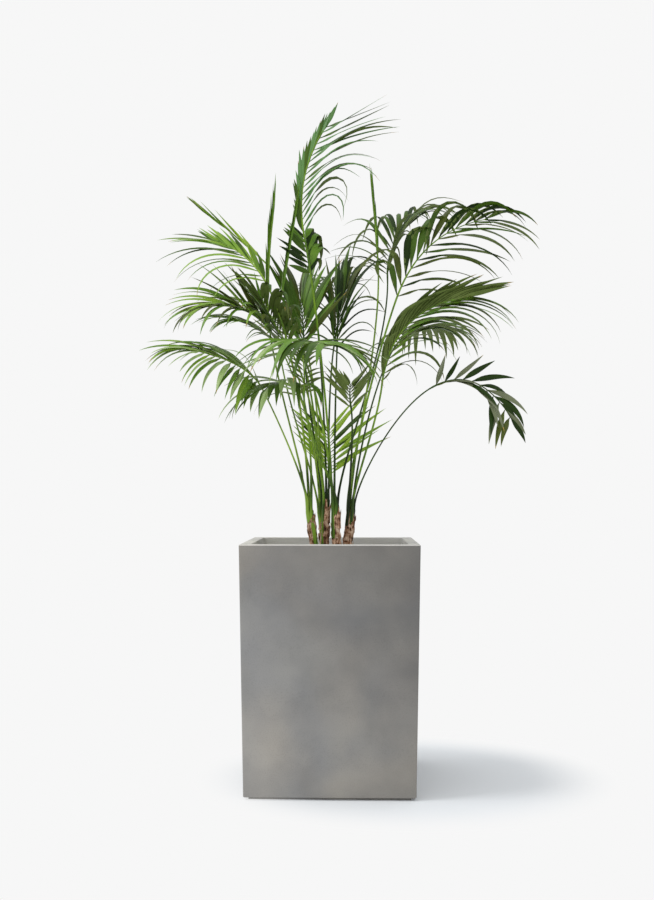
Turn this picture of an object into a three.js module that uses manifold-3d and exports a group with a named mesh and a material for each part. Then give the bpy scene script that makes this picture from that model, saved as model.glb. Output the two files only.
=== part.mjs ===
// A kentia palm in a tall square planter: five stems in one clump, their petioles, feather-shaped fronds
// and unopened spears. Millimetres, +Z up. The origin is the middle of the planter's flat underside, and
// -Y is the front.
import * as THREE from "three";
import { mergeVertices } from "three/addons/utils/BufferGeometryUtils.js";
import Module from "manifold-3d";

const GAP = 0.3; // air between two pieces that would otherwise touch

// Planter
const POT_HEIGHT = 600;
const POT_HALF_TOP = 215;
const POT_HALF_BOTTOM = 204;
const POT_WALL = 27;
const POT_FLOOR = 40; // top of the floor inside
const POT_EDGE = 2.5; // chamfer along the edges
const POT_CORNER = 4; // radius of the upright corners
const FOOT_HALF = 192;
const FOOT_HEIGHT = 6;
const SOIL_TOP = 545;

// Stems and limbs
const STEM_SIDES = 10;
const STEM_STEPS = 7;
const LIMB_SIDES = 5;
const PETIOLE_STEPS = 7;
const RIB_STEPS = 7;
const PETIOLE_FOOT = 3.6; // radius where it leaves the stem
const PETIOLE_NECK = 2.6; // radius where the leaflets begin
const RIB_TIP = 1.5;
const PETIOLE_RING = 0.78; // the ring that a stem's petioles stand on, against the stem's radius
const FLARE = 1.45; // a stem's foot against its shaft
const FLARE_HEIGHT = 22;
const FOOT_PULL = 0.16; // how far a petiole keeps upright at its foot, against its length
const NECK_PULL = 0.3; // and how far it already points along its rib at the neck

// Leaflets
const FIRST_PAIR = 0.03; // the rib's share below the first pair of leaflets
const LAST_PAIR = 0.98;
const FIRST_LENGTH = 0.25; // leaflet lengths along the rib follow a half wave, from this share of it
const LAST_LENGTH = 0.78; // to this one
const LEAST_WIDTH = 0.6; // width of the shortest leaflet, against the longest one's
const LENGTH_VARIES = 0.13;
const DROOP_VARIES = 0.35;
const SPREAD_VARIES = 0.16;
const RAISE_VARIES = 10; // degrees
const HANG = 1.3; // a leaflet that droops fully ends this steep, in radians below level
const BEND_POWER = 1.3; // 1 would bend a leaflet evenly, and more leaves most of the bend to its outer half
const HOOK_FROM = 0.3; // an upright leaflet stands up to this share of its length, then hooks over
const HOOK_TO = 0.85;
const LEVELLED = 0.4; // the share of its length in which a leaflet has turned its face up
const LEAFLET_STEPS = 8; // steps in which a leaflet's midrib is bent by its weight
const FULL_STEP = 3; // where a leaflet is widest
const LATE_STEP = 6; // and where it begins to run out to its point
const LATE_WIDTH = 0.56; // its width there, against its widest
const SOLID_SHARE = 0.5; // the share of a frond's leaflets that its solid carries, each wider to match
const SOLID_WIDTH = 1.3;
const LEAFLET_KEEL = 2.3; // depth of the midrib under the blade
const LEAST_KEEL = 0.011; // and at least this share of the leaflet's length
const LEAFLET_FOOT = 0.6; // half width of a leaflet's foot, against the rib's radius
const SPLIT_TURN = THREE.MathUtils.degToRad(70); // a rib that turns more than this is split in two
const SPLIT_CLEAR = 0.01; // no leaflet stands nearer to the split, as a share of the rib

// Spears
const SPEAR_SIDES = 5;
const SPEAR_STEPS = 8;
const SPEAR_POINT = 1; // radius at the tip
const SPEAR_FOOT = 0.12; // where on its half wave of widths the foot starts
const SPEAR_FULLNESS = 0.8; // under 1 holds the width further towards both ends

// A fused solid's points are the same when they are this close, in millimetres.
const WELD = 1e-3;
const ROUNDING = 1e4; // and its faces are tested with coordinates rounded to a ten-thousandth

// Each stem: its foot in the soil, its top, and its radius.
const STEMS = {
  a: { foot: [-38, -4], top: [-54, -6, 684], radius: 10 },
  b: { foot: [-17, 40], top: [-27, 42, 676], radius: 9 },
  c: { foot: [-14, 14], top: [-13, 14, 706], radius: 9 },
  d: { foot: [16, -2], top: [11, -2, 692], radius: 11 },
  e: { foot: [38, 24], top: [50, 26, 682], radius: 11 },
};

// Each frond: its stem, the bearing of its petiole's foot on the stem's top, where its leaflets begin (neck),
// where its rib is at its middle (crest) and where it ends (tip). leaf and width are the size of its longest
// leaflets, and pairs is their number on each side. In degrees, raise lifts the leaflets out of the blade's
// plane and roll turns the blade about its rib. The leaflets to its left and to its right, seen from above
// along the rib, have their spread off the rib in degrees and their droop from 0 to 1, each at the neck and
// at the tip, the share of the way that they turn their faces up (level, one for all or one each at the neck
// and at the tip), and their length against the others' (reach, 1 where it isn't given).
const FRONDS = {
  top: {
    stem: "d", foot: 170, neck: [-70, 17, 1385], crest: [-71, 28, 1540], tip: [-14, 40, 1684],
    pairs: 18, leaf: 250, width: 18, raise: 3, roll: 52,
    left: { spread: [8, 4], droop: [0.05, 0], level: 0.1, reach: 0.45 },
    right: { spread: [34, 44], droop: [1.5, -0.2], level: 0.8 },
  },
  inner_top: {
    stem: "c", foot: 90, neck: [-53, 35, 1291], crest: [-60, 42, 1337], tip: [-67, 55, 1390],
    pairs: 8, leaf: 120, width: 20, raise: 0, roll: 0,
    left: { spread: [62, 38], droop: [0.1, 0.1], level: 0.1, reach: 0.75 },
    right: { spread: [25, 20], droop: [1.6, 1.2], level: 0.4, reach: 1.1 },
  },
  upper_left: {
    stem: "a", foot: 114, neck: [-163, -60, 1251], crest: [-213, -43, 1316], tip: [-285, -10, 1366],
    pairs: 12, leaf: 215, width: 18, raise: 0, roll: -40,
    left: { spread: [60, 5], droop: [1.2, 0.25], level: 0.8 },
    right: { spread: [20, 3], droop: [0.2, 0], level: 0.3, reach: 0.62 },
  },
  light_left: {
    stem: "b", foot: 70, neck: [-174, 108, 1333], crest: [-248, 128, 1402], tip: [-326, 150, 1469],
    pairs: 5, leaf: 165, width: 14, raise: 30, roll: 20,
    left: { spread: [8, 2], droop: [0, 0], level: 0.2 },
    right: { spread: [8, 2], droop: [0, 0], level: 0.2 },
  },
  middle_left: {
    stem: "c", foot: 210, neck: [-145, -30, 1120], crest: [-209, -55, 1178], tip: [-295, -95, 1187],
    pairs: 17, leaf: 200, width: 17, raise: 20, roll: -25,
    left: { spread: [60, 12], droop: [0.7, 0.9], level: 0.8 },
    right: { spread: [34, 10], droop: [-0.6, 1.4], level: 0.3 },
  },
  under_left: {
    stem: "a", foot: 294, neck: [-118, -38, 1078], crest: [-173, -66, 1126], tip: [-233, -100, 1150],
    pairs: 10, leaf: 160, width: 13, raise: 10, roll: -20,
    left: { spread: [50, 10], droop: [0.8, 0.8], level: 0.8 },
    right: { spread: [30, 8], droop: [0.5, 0.6], level: 0.6 },
  },
  low_left: {
    stem: "a", foot: 234, neck: [-172, -70, 984], crest: [-223, -110, 1033], tip: [-318, -170, 1066],
    pairs: 14, leaf: 215, width: 21, raise: -5, roll: -45,
    left: { spread: [78, 26], droop: [0.95, 0.8], level: 0.9, reach: 0.72 },
    right: { spread: [22, 6], droop: [0.6, 0.75], level: 0.7 },
  },
  front_left: {
    stem: "b", foot: 250, neck: [-79, -70, 964], crest: [-109, -110, 993], tip: [-150, -160, 981],
    pairs: 9, leaf: 190, width: 20, raise: 5, roll: 0,
    left: { spread: [60, 25], droop: [1.1, 1], level: 0.8 },
    right: { spread: [60, 25], droop: [1.1, 1], level: 0.8 },
  },
  front: {
    stem: "d", foot: 230, neck: [-68, -90, 1062], crest: [-63, -160, 1083], tip: [-11, -280, 1069],
    pairs: 17, leaf: 235, width: 20, raise: 5, roll: 0,
    left: { spread: [75, 35], droop: [1.1, 0.8], level: 0.8 },
    right: { spread: [75, 35], droop: [0.8, 0.9], level: 0.8 },
  },
  comb: {
    stem: "d", foot: 290, neck: [-65, -105, 966], crest: [-64, -125, 1018], tip: [-68, -160, 1068],
    pairs: 11, leaf: 60, width: 7, raise: 15, roll: 0,
    left: { spread: [60, 30], droop: [0.3, 0.3], level: 0.2 },
    right: { spread: [60, 30], droop: [0.3, 0.3], level: 0.2 },
  },
  centre_left: {
    stem: "c", foot: 150, neck: [-110, -15, 1097], crest: [-145, -35, 1155], tip: [-172, -70, 1206],
    pairs: 12, leaf: 175, width: 17, raise: 20, roll: 0,
    left: { spread: [60, 25], droop: [0.9, 0.7], level: 0.6 },
    right: { spread: [38, 12], droop: [0.05, 0.2], level: 0.2 },
  },
  centre: {
    stem: "b", foot: 310, neck: [-72, 52, 1105], crest: [-76, 68, 1171], tip: [-84, 100, 1235],
    pairs: 13, leaf: 195, width: 21, raise: 35, roll: 0,
    left: { spread: [42, 10], droop: [0, 0.15], level: 0.1 },
    right: { spread: [42, 10], droop: [0.05, 0.15], level: 0.1 },
  },
  centre_right: {
    stem: "c", foot: 330, neck: [6, 70, 1107], crest: [19, 95, 1185], tip: [37, 130, 1266],
    pairs: 10, leaf: 265, width: 13, raise: 20, roll: 0,
    left: { spread: [16, 5], droop: [0, 0.5], level: 0.2 },
    right: { spread: [24, 6], droop: [0.1, 0.6], level: 0.2 },
  },
  low_front: {
    stem: "b", foot: 10, neck: [-3, 74, 768], crest: [-6, 100, 834], tip: [-9, 130, 890],
    pairs: 14, leaf: 175, width: 12, raise: 12, roll: 0,
    left: { spread: [50, 34], droop: [0.05, 0.05], level: 0.1, reach: 0.85 },
    right: { spread: [58, 38], droop: [0.05, 0.05], level: 0.1, reach: 1.05 },
  },
  right_front: {
    stem: "e", foot: -130, neck: [51, -95, 932], crest: [48, -135, 962], tip: [50, -180, 983],
    pairs: 8, leaf: 110, width: 15, raise: 25, roll: 0,
    left: { spread: [45, 20], droop: [0.1, 0.1], level: 0.1 },
    right: { spread: [45, 20], droop: [0.1, 0.1], level: 0.1 },
  },
  upper_right: {
    stem: "e", foot: 170, neck: [168, 45, 1224], crest: [262, 75, 1375], tip: [413, 110, 1451],
    pairs: 13, leaf: 245, width: 23, raise: 20, roll: 75,
    left: { spread: [34, 16], droop: [1.15, 0.8], level: [0.1, 0.9], reach: 0.95 },
    right: { spread: [58, 12], droop: [0.75, 0.75], level: 0.9 },
  },
  middle_right: {
    stem: "e", foot: -70, neck: [129, -40, 996], crest: [186, -85, 1134], tip: [320, -140, 1200],
    pairs: 18, leaf: 255, width: 22, raise: 10, roll: -30,
    left: { spread: [50, 14], droop: [0.9, 0.85], level: 0.9, reach: 0.95 },
    right: { spread: [4, 2], droop: [0.45, 0.1], level: 0.1, reach: 0.8 },
  },
  inner_right: {
    stem: "e", foot: 50, neck: [164, 72, 1102], crest: [219, 120, 1156], tip: [296, 180, 1173],
    pairs: 14, leaf: 200, width: 18, raise: 10, roll: 0,
    left: { spread: [60, 25], droop: [1, 1], level: 0.7 },
    right: { spread: [60, 25], droop: [1, 1], level: 0.7 },
  },
  low_right: {
    stem: "e", foot: -10, neck: [258, -30, 990], crest: [360, -62, 997], tip: [446, -95, 905],
    pairs: 11, leaf: 190, width: 20, raise: 20, roll: 45,
    left: { spread: [52, 8], droop: [-1.5, 3.4], level: 0.1, reach: 0.6 },
    right: { spread: [12, 70], droop: [0.75, 0.9], level: 0.5, reach: 0.8 },
  },
  back_right: {
    stem: "d", foot: 50, neck: [151, 205, 1317], crest: [168, 235, 1407], tip: [226, 290, 1489],
    pairs: 16, leaf: 240, width: 15, raise: 35, roll: 0,
    left: { spread: [55, 20], droop: [0.8, 0.9], level: 0.9 },
    right: { spread: [45, 15], droop: [0.9, 0.9], level: 0.9 },
  },
  back: {
    stem: "d", foot: 110, neck: [13, 130, 1104], crest: [12, 190, 1236], tip: [-3, 270, 1311],
    pairs: 12, leaf: 170, width: 16, raise: 35, roll: 0,
    left: { spread: [50, 20], droop: [0.8, 0.8], level: 0.8 },
    right: { spread: [50, 20], droop: [0.8, 0.8], level: 0.8 },
  },
  back_left: {
    stem: "b", foot: 130, neck: [-98, 150, 1121], crest: [-175, 240, 1217], tip: [-269, 340, 1270],
    pairs: 12, leaf: 150, width: 16, raise: 20, roll: 0,
    left: { spread: [55, 25], droop: [0.6, 0.5], level: 0.8 },
    right: { spread: [55, 25], droop: [0.6, 0.5], level: 0.8 },
  },
};

// Each spear, an unopened frond: its stem, its petiole's bearing there, and its blade's foot, middle and tip.
const SPEARS = {
  spear_left: {
    stem: "a", foot: 174, neck: [-163, -10, 1216], crest: [-158, -10, 1345], tip: [-144, -15, 1481],
    width: 12,
  },
  spear_middle: {
    stem: "b", foot: 190, neck: [-135, 10, 1204], crest: [-112, 12, 1342], tip: [-89, 14, 1475],
    width: 15,
  },
  spear_right: {
    stem: "e", foot: 110, neck: [123, 115, 1338], crest: [115, 112, 1445], tip: [104, 105, 1560],
    width: 10,
  },
};

const FINISH = {
  planter: new THREE.MeshStandardMaterial({ color: 0x8e8c89, roughness: 0.75, metalness: 0 }),
  soil: new THREE.MeshStandardMaterial({ color: 0x2e241c, roughness: 1, metalness: 0 }),
  stem: new THREE.MeshStandardMaterial({ color: 0x8a6a4c, roughness: 0.85, metalness: 0 }),
  petiole: new THREE.MeshStandardMaterial({ color: 0x6f8f3c, roughness: 0.5, metalness: 0 }),
  frond: new THREE.MeshStandardMaterial({ color: 0x3f5a2a, roughness: 0.5, metalness: 0 }),
  spear: new THREE.MeshStandardMaterial({ color: 0x7fa63a, roughness: 0.5, metalness: 0 }),
};

const wasm = await Module();
wasm.setup();
const palm = new THREE.Group();
const UP = new THREE.Vector3(0, 0, 1);
const place = (xyz) => new THREE.Vector3(...xyz);

// A closed skin over rings of points that each turn the same way. A ring of one point closes it to a tip.
// A four-sided face that is twisted is folded outwards, which keeps a thin twisted blade clear of itself.
function skin(rings) {
  const points = rings.flat();
  const faces = [];
  const fan = (first, count, turn) => {
    for (let i = first + 1; i < first + count - 1; i++) faces.push(first, turn ? i + 1 : i, turn ? i : i + 1);
  };
  const quad = (a, b, c, d) => {
    const [toB, toC, toD] = [b, c, d].map((corner) => points[corner].clone().sub(points[a]));
    const outwards = toB.cross(toC).dot(toD) <= 0;
    faces.push(...(outwards ? [a, b, c, a, c, d] : [a, b, d, b, c, d]));
  };
  let low = 0;
  fan(0, rings[0].length, true);
  for (let k = 1; k < rings.length; k++) {
    const below = rings[k - 1].length;
    const above = rings[k].length;
    const high = low + below;
    const sides = Math.max(below, above);
    for (let i = 0; i < sides; i++) {
      const next = (i + 1) % sides;
      if (below === 1) faces.push(low, high + next, high + i);
      else if (above === 1) faces.push(low + i, low + next, high);
      else quad(low + i, low + next, high + next, high + i);
    }
    low = high;
  }
  fan(low, rings.at(-1).length, false);
  return new THREE.BufferGeometry().setFromPoints(points).setIndex(faces);
}

// A square ring with round corners, turning anticlockwise seen from above.
function squareRing(half, height, corner = POT_CORNER) {
  const shape = new THREE.Shape();
  const inner = half - corner;
  [0, 1, 2, 3].forEach((quarter) => {
    const start = (quarter * Math.PI) / 2;
    const x = quarter === 0 || quarter === 3 ? inner : -inner;
    const y = quarter < 2 ? inner : -inner;
    shape.absarc(x, y, corner, start, start + Math.PI / 2, false);
  });
  return shape.getPoints(2).slice(0, -1).map((p) => new THREE.Vector3(p.x, p.y, height));
}

// A tube with the given radius along a curve. The first ring lies level, so that it stands on a flat cut.
function tube(curve, radiusAt, sides, steps, levelFoot = false) {
  const { normals, binormals } = curve.computeFrenetFrames(steps, false);
  const rings = [];
  for (let k = 0; k <= steps; k++) {
    const middle = curve.getPointAt(k / steps);
    const radius = radiusAt(k / steps);
    const ring = [];
    for (let i = 0; i < sides; i++) {
      const angle = (2 * Math.PI * i) / sides;
      const spoke = normals[k].clone().multiplyScalar(Math.cos(angle));
      spoke.addScaledVector(binormals[k], Math.sin(angle));
      const point = middle.clone().addScaledVector(spoke, radius);
      if (k === 0 && levelFoot) point.z = middle.z;
      ring.push(point);
    }
    rings.push(ring);
  }
  return skin(rings);
}

// A closed geometry as a manifold-3d solid, and back.
function solidOf(geometry, tolerance = 1e-4) {
  const bare = new THREE.BufferGeometry().setAttribute("position", geometry.getAttribute("position"));
  const merged = mergeVertices(bare.setIndex(geometry.index), tolerance);
  return new wasm.Manifold(
    new wasm.Mesh({
      numProp: 3,
      vertProperties: merged.attributes.position.array,
      triVerts: new Uint32Array(merged.index.array),
    }),
  );
}

function geometryOf(solid) {
  const mesh = solid.getMesh();
  const points = new THREE.BufferAttribute(new Float32Array(mesh.vertProperties), 3);
  return new THREE.BufferGeometry().setAttribute("position", points).setIndex([...mesh.triVerts]);
}

function addNode(name, geometry, finish) {
  const mesh = new THREE.Mesh(geometry, finish);
  mesh.name = name;
  palm.add(mesh);
}

// An even spread of numbers from -1 to 1 that is the same every time.
function vary(index, seed) {
  const wave = Math.sin(index * 12.9898 + seed * 78.233) * 43758.5453;
  return 2 * (wave - Math.floor(wave)) - 1;
}

function makePlanter() {
  const outerAt = (z) => THREE.MathUtils.mapLinear(z, FOOT_HEIGHT, POT_HEIGHT, POT_HALF_BOTTOM, POT_HALF_TOP);
  const innerAt = (z) => outerAt(z) - POT_WALL;
  const rings = [
    squareRing(FOOT_HALF, 0),
    squareRing(FOOT_HALF, FOOT_HEIGHT),
    squareRing(POT_HALF_BOTTOM - POT_EDGE, FOOT_HEIGHT),
    squareRing(outerAt(FOOT_HEIGHT + POT_EDGE), FOOT_HEIGHT + POT_EDGE),
    squareRing(outerAt(POT_HEIGHT - POT_EDGE), POT_HEIGHT - POT_EDGE),
    squareRing(POT_HALF_TOP - POT_EDGE, POT_HEIGHT),
    squareRing(innerAt(POT_HEIGHT) + POT_EDGE, POT_HEIGHT),
    squareRing(innerAt(POT_HEIGHT - POT_EDGE), POT_HEIGHT - POT_EDGE),
    squareRing(innerAt(POT_FLOOR), POT_FLOOR),
  ];
  addNode("planter", skin(rings), FINISH.planter);
  const soilRings = [POT_FLOOR + GAP, SOIL_TOP].map((z) => squareRing(innerAt(z) - GAP, z));
  addNode("soil", skin(soilRings), FINISH.soil);
}

// A stem: a tapering shaft with a lean and a flared foot, cut flat at the soil.
function makeStem(name, { foot, top, radius }) {
  const start = new THREE.Vector3(foot[0], foot[1], SOIL_TOP + GAP);
  const end = place(top);
  const third = (end.z - start.z) / 3;
  const curve = new THREE.CubicBezierCurve3(
    start,
    start.clone().addScaledVector(UP, third),
    end.clone().addScaledVector(UP, -third),
    end,
  );
  const height = end.z - start.z;
  const radiusAt = (t) => radius * (1 + (FLARE - 1) * Math.exp((-t * height) / FLARE_HEIGHT));
  addNode("stem_" + name, tube(curve, radiusAt, STEM_SIDES, STEM_STEPS, true), FINISH.stem);
}

// A limb's two curves: the petiole, which leaves its stem upright, and the rib that goes on from it.
function limbCurves(foot, { neck, crest, tip }) {
  const [start, middle, end] = [neck, crest, tip].map(place);
  const pull = middle.clone().multiplyScalar(2).addScaledVector(start, -0.5).addScaledVector(end, -0.5);
  const heading = pull.clone().sub(start).normalize();
  const reach = start.distanceTo(foot);
  const petiole = new THREE.CubicBezierCurve3(
    foot,
    foot.clone().addScaledVector(UP, FOOT_PULL * reach),
    start.clone().addScaledVector(heading, -NECK_PULL * reach),
    start.clone().addScaledVector(heading, -GAP / 2),
  );
  const rib = new THREE.QuadraticBezierCurve3(start.clone().addScaledVector(heading, GAP / 2), pull, end);
  return { petiole, rib };
}

// Where a limb stands: on a ring at its stem's top, at the limb's own bearing.
function petioleFoot({ stem, foot }) {
  const { top, radius } = STEMS[stem];
  const ring = new THREE.Vector3(PETIOLE_RING * radius, 0, GAP);
  return ring.applyAxisAngle(UP, THREE.MathUtils.degToRad(foot)).add(place(top));
}

// The blade's own directions at a point of its rib: along it, to its left and out of its upper face.
function bladeFrame(rib, t, { neck, tip, roll }) {
  const along = rib.getTangentAt(t);
  const bearing = Math.atan2(tip[1] - neck[1], tip[0] - neck[0]);
  const left = new THREE.Vector3(-Math.sin(bearing), Math.cos(bearing), 0);
  left.addScaledVector(along, -left.dot(along)).normalize();
  left.applyAxisAngle(along, THREE.MathUtils.degToRad(roll));
  return { along, left, face: along.clone().cross(left) };
}

const ease = (t) => THREE.MathUtils.smoothstep(t, 0, 1);

// The part of a direction that is square to another, at unit length.
const squareTo = (direction, other) =>
  direction.clone().addScaledVector(other, -direction.dot(other)).normalize();

// The middle line of a leaflet, bent down by its weight, with its direction and width direction at each step.
function leafletLine(rib, frond, t, side, seed) {
  const { along, left, face } = bladeFrame(rib, t, frond);
  const { degToRad, lerp, clamp } = THREE.MathUtils;
  const { spread, droop, level, reach = 1 } = side > 0 ? frond.left : frond.right;
  const number = Math.round(t * 1000) + side;
  const fullness = Math.sin(Math.PI * lerp(FIRST_LENGTH, LAST_LENGTH, t));
  const length = frond.leaf * reach * fullness * (1 + LENGTH_VARIES * vary(number, seed));
  const open = degToRad(lerp(...spread, t) * (1 + SPREAD_VARIES * vary(number, seed + 1)));
  const lift = degToRad(frond.raise + RAISE_VARIES * vary(number, seed + 2));
  const out = left.clone().multiplyScalar(side * Math.cos(lift)).addScaledVector(face, Math.sin(lift));
  const first = along.clone().multiplyScalar(Math.cos(open)).addScaledVector(out, Math.sin(open));
  const across = squareTo(along, first);
  const heading = new THREE.Vector3(first.x, first.y, 0).normalize();
  const flat = UP.clone().cross(heading);
  if (flat.dot(across) < 0) flat.negate();
  const rise = Math.asin(first.z);
  const weight = clamp(lerp(...droop, t), 0, 1) * (1 + DROOP_VARIES * vary(number, seed + 3));
  const bend = weight * Math.max(0, rise + HANG);
  const upright = Math.max(0, Math.sin(rise)) ** 3;
  const facing = lerp(level[0] ?? level, level[1] ?? level, t);
  const at = rib.getPointAt(t);
  const line = [];
  for (let k = 0; k <= LEAFLET_STEPS; k++) {
    const s = k / LEAFLET_STEPS;
    const hooked = ease((s - HOOK_FROM) / (HOOK_TO - HOOK_FROM));
    const slope = rise - bend * lerp(s ** BEND_POWER, hooked, upright);
    const way = heading.clone().multiplyScalar(Math.cos(slope)).addScaledVector(UP, Math.sin(slope));
    const width = squareTo(across.clone().lerp(flat, facing * ease(s / LEVELLED)), way);
    line.push({ at: at.clone(), way, width });
    at.addScaledVector(way, length / LEAFLET_STEPS);
  }
  return { line, length };
}

// A leaflet: a thin three-sided blade from a narrow foot in the rib, through its widest place, to a point.
function leafletSolid({ line, length }, halfWidth, side, ribRadius, extra = 0) {
  const keel = Math.max(LEAFLET_KEEL, LEAST_KEEL * length);
  const section = ({ at, way, width }, half, depth) => {
    const upper = width.clone().cross(way).multiplyScalar(side);
    return [
      at.clone().addScaledVector(width, half + extra).addScaledVector(upper, extra),
      at.clone().addScaledVector(width, -half - extra).addScaledVector(upper, extra),
      at.clone().addScaledVector(upper, -depth - extra),
    ];
  };
  const footHalf = LEAFLET_FOOT * ribRadius;
  const rings = [
    section(line[0], footHalf, footHalf),
    section(line[FULL_STEP], halfWidth, keel),
    section(line[LATE_STEP], LATE_WIDTH * halfWidth, keel),
    [line.at(-1).at],
  ];
  if (side > 0) rings.forEach((ring) => ring.reverse());
  return solidOf(skin(rings));
}

// A fused solid with the points that lie together made one, or nothing where its faces then no longer
// close on each other.
function settled(fused) {
  let solid;
  try {
    solid = solidOf(geometryOf(fused), WELD);
  } catch {
    return null;
  }
  const { vertProperties, triVerts } = solid.getMesh();
  const corner = (v) => [0, 1, 2].map((i) => Math.round(vertProperties[3 * v + i] * ROUNDING)).join();
  const edges = new Set();
  for (let i = 0; i < triVerts.length; i += 3) {
    const face = [...triVerts.slice(i, i + 3)].map(corner);
    if (new Set(face).size < 3) continue;
    for (let k = 0; k < 3; k++) {
      const edge = face[k] + ">" + face[(k + 1) % 3];
      if (edges.has(edge)) return null;
      edges.add(edge);
    }
  }
  return [...edges].every((edge) => edges.has(edge.split(">").reverse().join(">"))) ? solid : null;
}

const overlap = (one, other) => {
  const a = one.box;
  const b = other.box;
  if (![0, 1, 2].every((i) => a.min[i] <= b.max[i] && b.min[i] <= a.max[i])) return false;
  return one.solid.intersect(other.solid).volume() > 0;
};
const boxed = (solid, owner) => ({ solid, owner, box: solid.boundingBox() });

// The pieces a frond is made in: one, or two that meet where a strongly arched rib bends most.
function frondPieces(name, rib) {
  const turn = rib.getTangentAt(0).angleTo(rib.getTangentAt(1));
  if (turn < SPLIT_TURN) return [{ node: name, from: 0, to: 1 }];
  return [
    { node: name + "_inner", from: 0, to: 0.5 },
    { node: name + "_outer", from: 0.5, to: 1 },
  ];
}

// Fuses a piece's rib with each of its leaflets that stays clear of the limbs and of other pieces' leaflets.
function makeBlade({ node, from, to, blade }, frond, rib, seed) {
  const pairs = Math.round(frond.pairs * SOLID_SHARE);
  let whole = blade;
  for (let pair = 0; pair < pairs; pair++) {
    const t = THREE.MathUtils.lerp(FIRST_PAIR, LAST_PAIR, pair / (pairs - 1));
    if (t < from + SPLIT_CLEAR || t > to - SPLIT_CLEAR) continue;
    const ribRadius = THREE.MathUtils.lerp(PETIOLE_NECK, RIB_TIP, t);
    for (const side of [1, -1]) {
      const leaflet = leafletLine(rib, frond, t, side, seed);
      const fullness = THREE.MathUtils.lerp(LEAST_WIDTH, 1, leaflet.length / frond.leaf);
      const half = (frond.width / 2) * SOLID_WIDTH * fullness;
      const space = boxed(leafletSolid(leaflet, half, side, ribRadius, GAP), node);
      if (taken.some((other) => other.owner !== node && overlap(space, other))) continue;
      const solid = leafletSolid(leaflet, half, side, ribRadius);
      const fused = settled(whole.add(solid));
      if (!fused) continue;
      taken.push(boxed(solid, node));
      whole = fused;
    }
  }
  const largest = whole.decompose().sort((p, q) => q.volume() - p.volume())[0];
  addNode("frond_" + node, geometryOf(largest), FINISH.frond);
}

// The stretch of a rib between two shares of its length, as a curve of its own.
function stretch(rib, from, to) {
  const [first, last] = [from, to].map((share) => rib.getUtoTmapping(share));
  const start = rib.getPoint(first);
  const end = rib.getPoint(last);
  const { v0, v1, v2 } = rib;
  const speed = v1.clone().sub(v0).lerp(v2.clone().sub(v1), first).multiplyScalar(2);
  const pull = start.clone().addScaledVector(speed, (last - first) / 2);
  return new THREE.QuadraticBezierCurve3(start, pull, end);
}

function ribSolid(rib, from, to) {
  const gap = from > 0 ? GAP / rib.getLength() : 0;
  const radiusAt = (t) => THREE.MathUtils.lerp(PETIOLE_NECK, RIB_TIP, from + (to - from) * t);
  const steps = Math.ceil(RIB_STEPS * (to - from));
  return solidOf(tube(stretch(rib, from + gap, to), radiusAt, 4, steps));
}

// An unopened frond: a slim folded blade on its petiole.
function makeSpear(name, { width }, rib) {
  const { lerp } = THREE.MathUtils;
  const radiusAt = (t) =>
    lerp(SPEAR_POINT, width / 2, Math.max(0, Math.sin(Math.PI * lerp(SPEAR_FOOT, 1, t))) ** SPEAR_FULLNESS);
  const geometry = tube(rib, radiusAt, SPEAR_SIDES, SPEAR_STEPS);
  addNode(name, geometry, FINISH.spear);
  taken.push(boxed(solidOf(geometry), name));
}

makePlanter();
Object.entries(STEMS).forEach(([name, stem]) => makeStem(name, stem));
const limbs = Object.entries({ ...FRONDS, ...SPEARS });
const taken = palm.children.map((mesh) => boxed(solidOf(mesh.geometry), mesh.name));
const ribs = {};
limbs.forEach(([name, limb]) => {
  const { petiole, rib } = limbCurves(petioleFoot(limb), limb);
  const radiusAt = (t) => THREE.MathUtils.lerp(PETIOLE_FOOT, PETIOLE_NECK, t);
  const geometry = tube(petiole, radiusAt, LIMB_SIDES, PETIOLE_STEPS, true);
  addNode("petiole_" + name, geometry, FINISH.petiole);
  taken.push(boxed(solidOf(geometry), "petiole_" + name));
  ribs[name] = rib;
});
Object.entries(SPEARS).forEach(([name, spear]) => makeSpear(name, spear, ribs[name]));
const pieces = Object.entries(FRONDS).flatMap(([name, frond], index) =>
  frondPieces(name, ribs[name]).map((piece) => {
    const blade = ribSolid(ribs[name], piece.from, piece.to);
    taken.push(boxed(blade, piece.node));
    return [{ ...piece, blade }, frond, ribs[name], index + 1];
  }),
);
pieces.forEach((piece) => makeBlade(...piece));

export default palm;
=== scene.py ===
"""A kentia palm in a tall square planter: stems, petioles, feather fronds and unopened spears.

The sizes and rows below are in millimetres, +Z up, with the origin in the middle of the planter's flat
underside and -Y at the front. Every piece is worked out in millimetres and scaled to metres when it is added.
Leaflets grow along their frond's rib by one rule, from the values in the frond's row.
"""
from math import asin, atan2, cos, exp, floor, pi, radians, sin

import bmesh
import bpy
from mathutils import Matrix, Vector, noise


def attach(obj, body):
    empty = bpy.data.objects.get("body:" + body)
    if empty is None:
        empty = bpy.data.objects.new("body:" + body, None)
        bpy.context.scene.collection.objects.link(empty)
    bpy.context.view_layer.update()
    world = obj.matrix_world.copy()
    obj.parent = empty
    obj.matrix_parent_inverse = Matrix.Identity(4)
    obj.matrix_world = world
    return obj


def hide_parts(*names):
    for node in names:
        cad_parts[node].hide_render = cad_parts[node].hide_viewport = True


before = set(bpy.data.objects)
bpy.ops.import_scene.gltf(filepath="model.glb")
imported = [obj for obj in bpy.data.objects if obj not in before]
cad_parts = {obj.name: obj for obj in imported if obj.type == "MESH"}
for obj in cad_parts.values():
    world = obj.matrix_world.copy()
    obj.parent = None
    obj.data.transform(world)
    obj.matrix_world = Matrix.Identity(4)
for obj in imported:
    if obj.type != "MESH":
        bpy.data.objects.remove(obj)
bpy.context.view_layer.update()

MM = 0.001
UP = Vector((0, 0, 1))
RIGHT = Vector((1, 0, 0))

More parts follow.
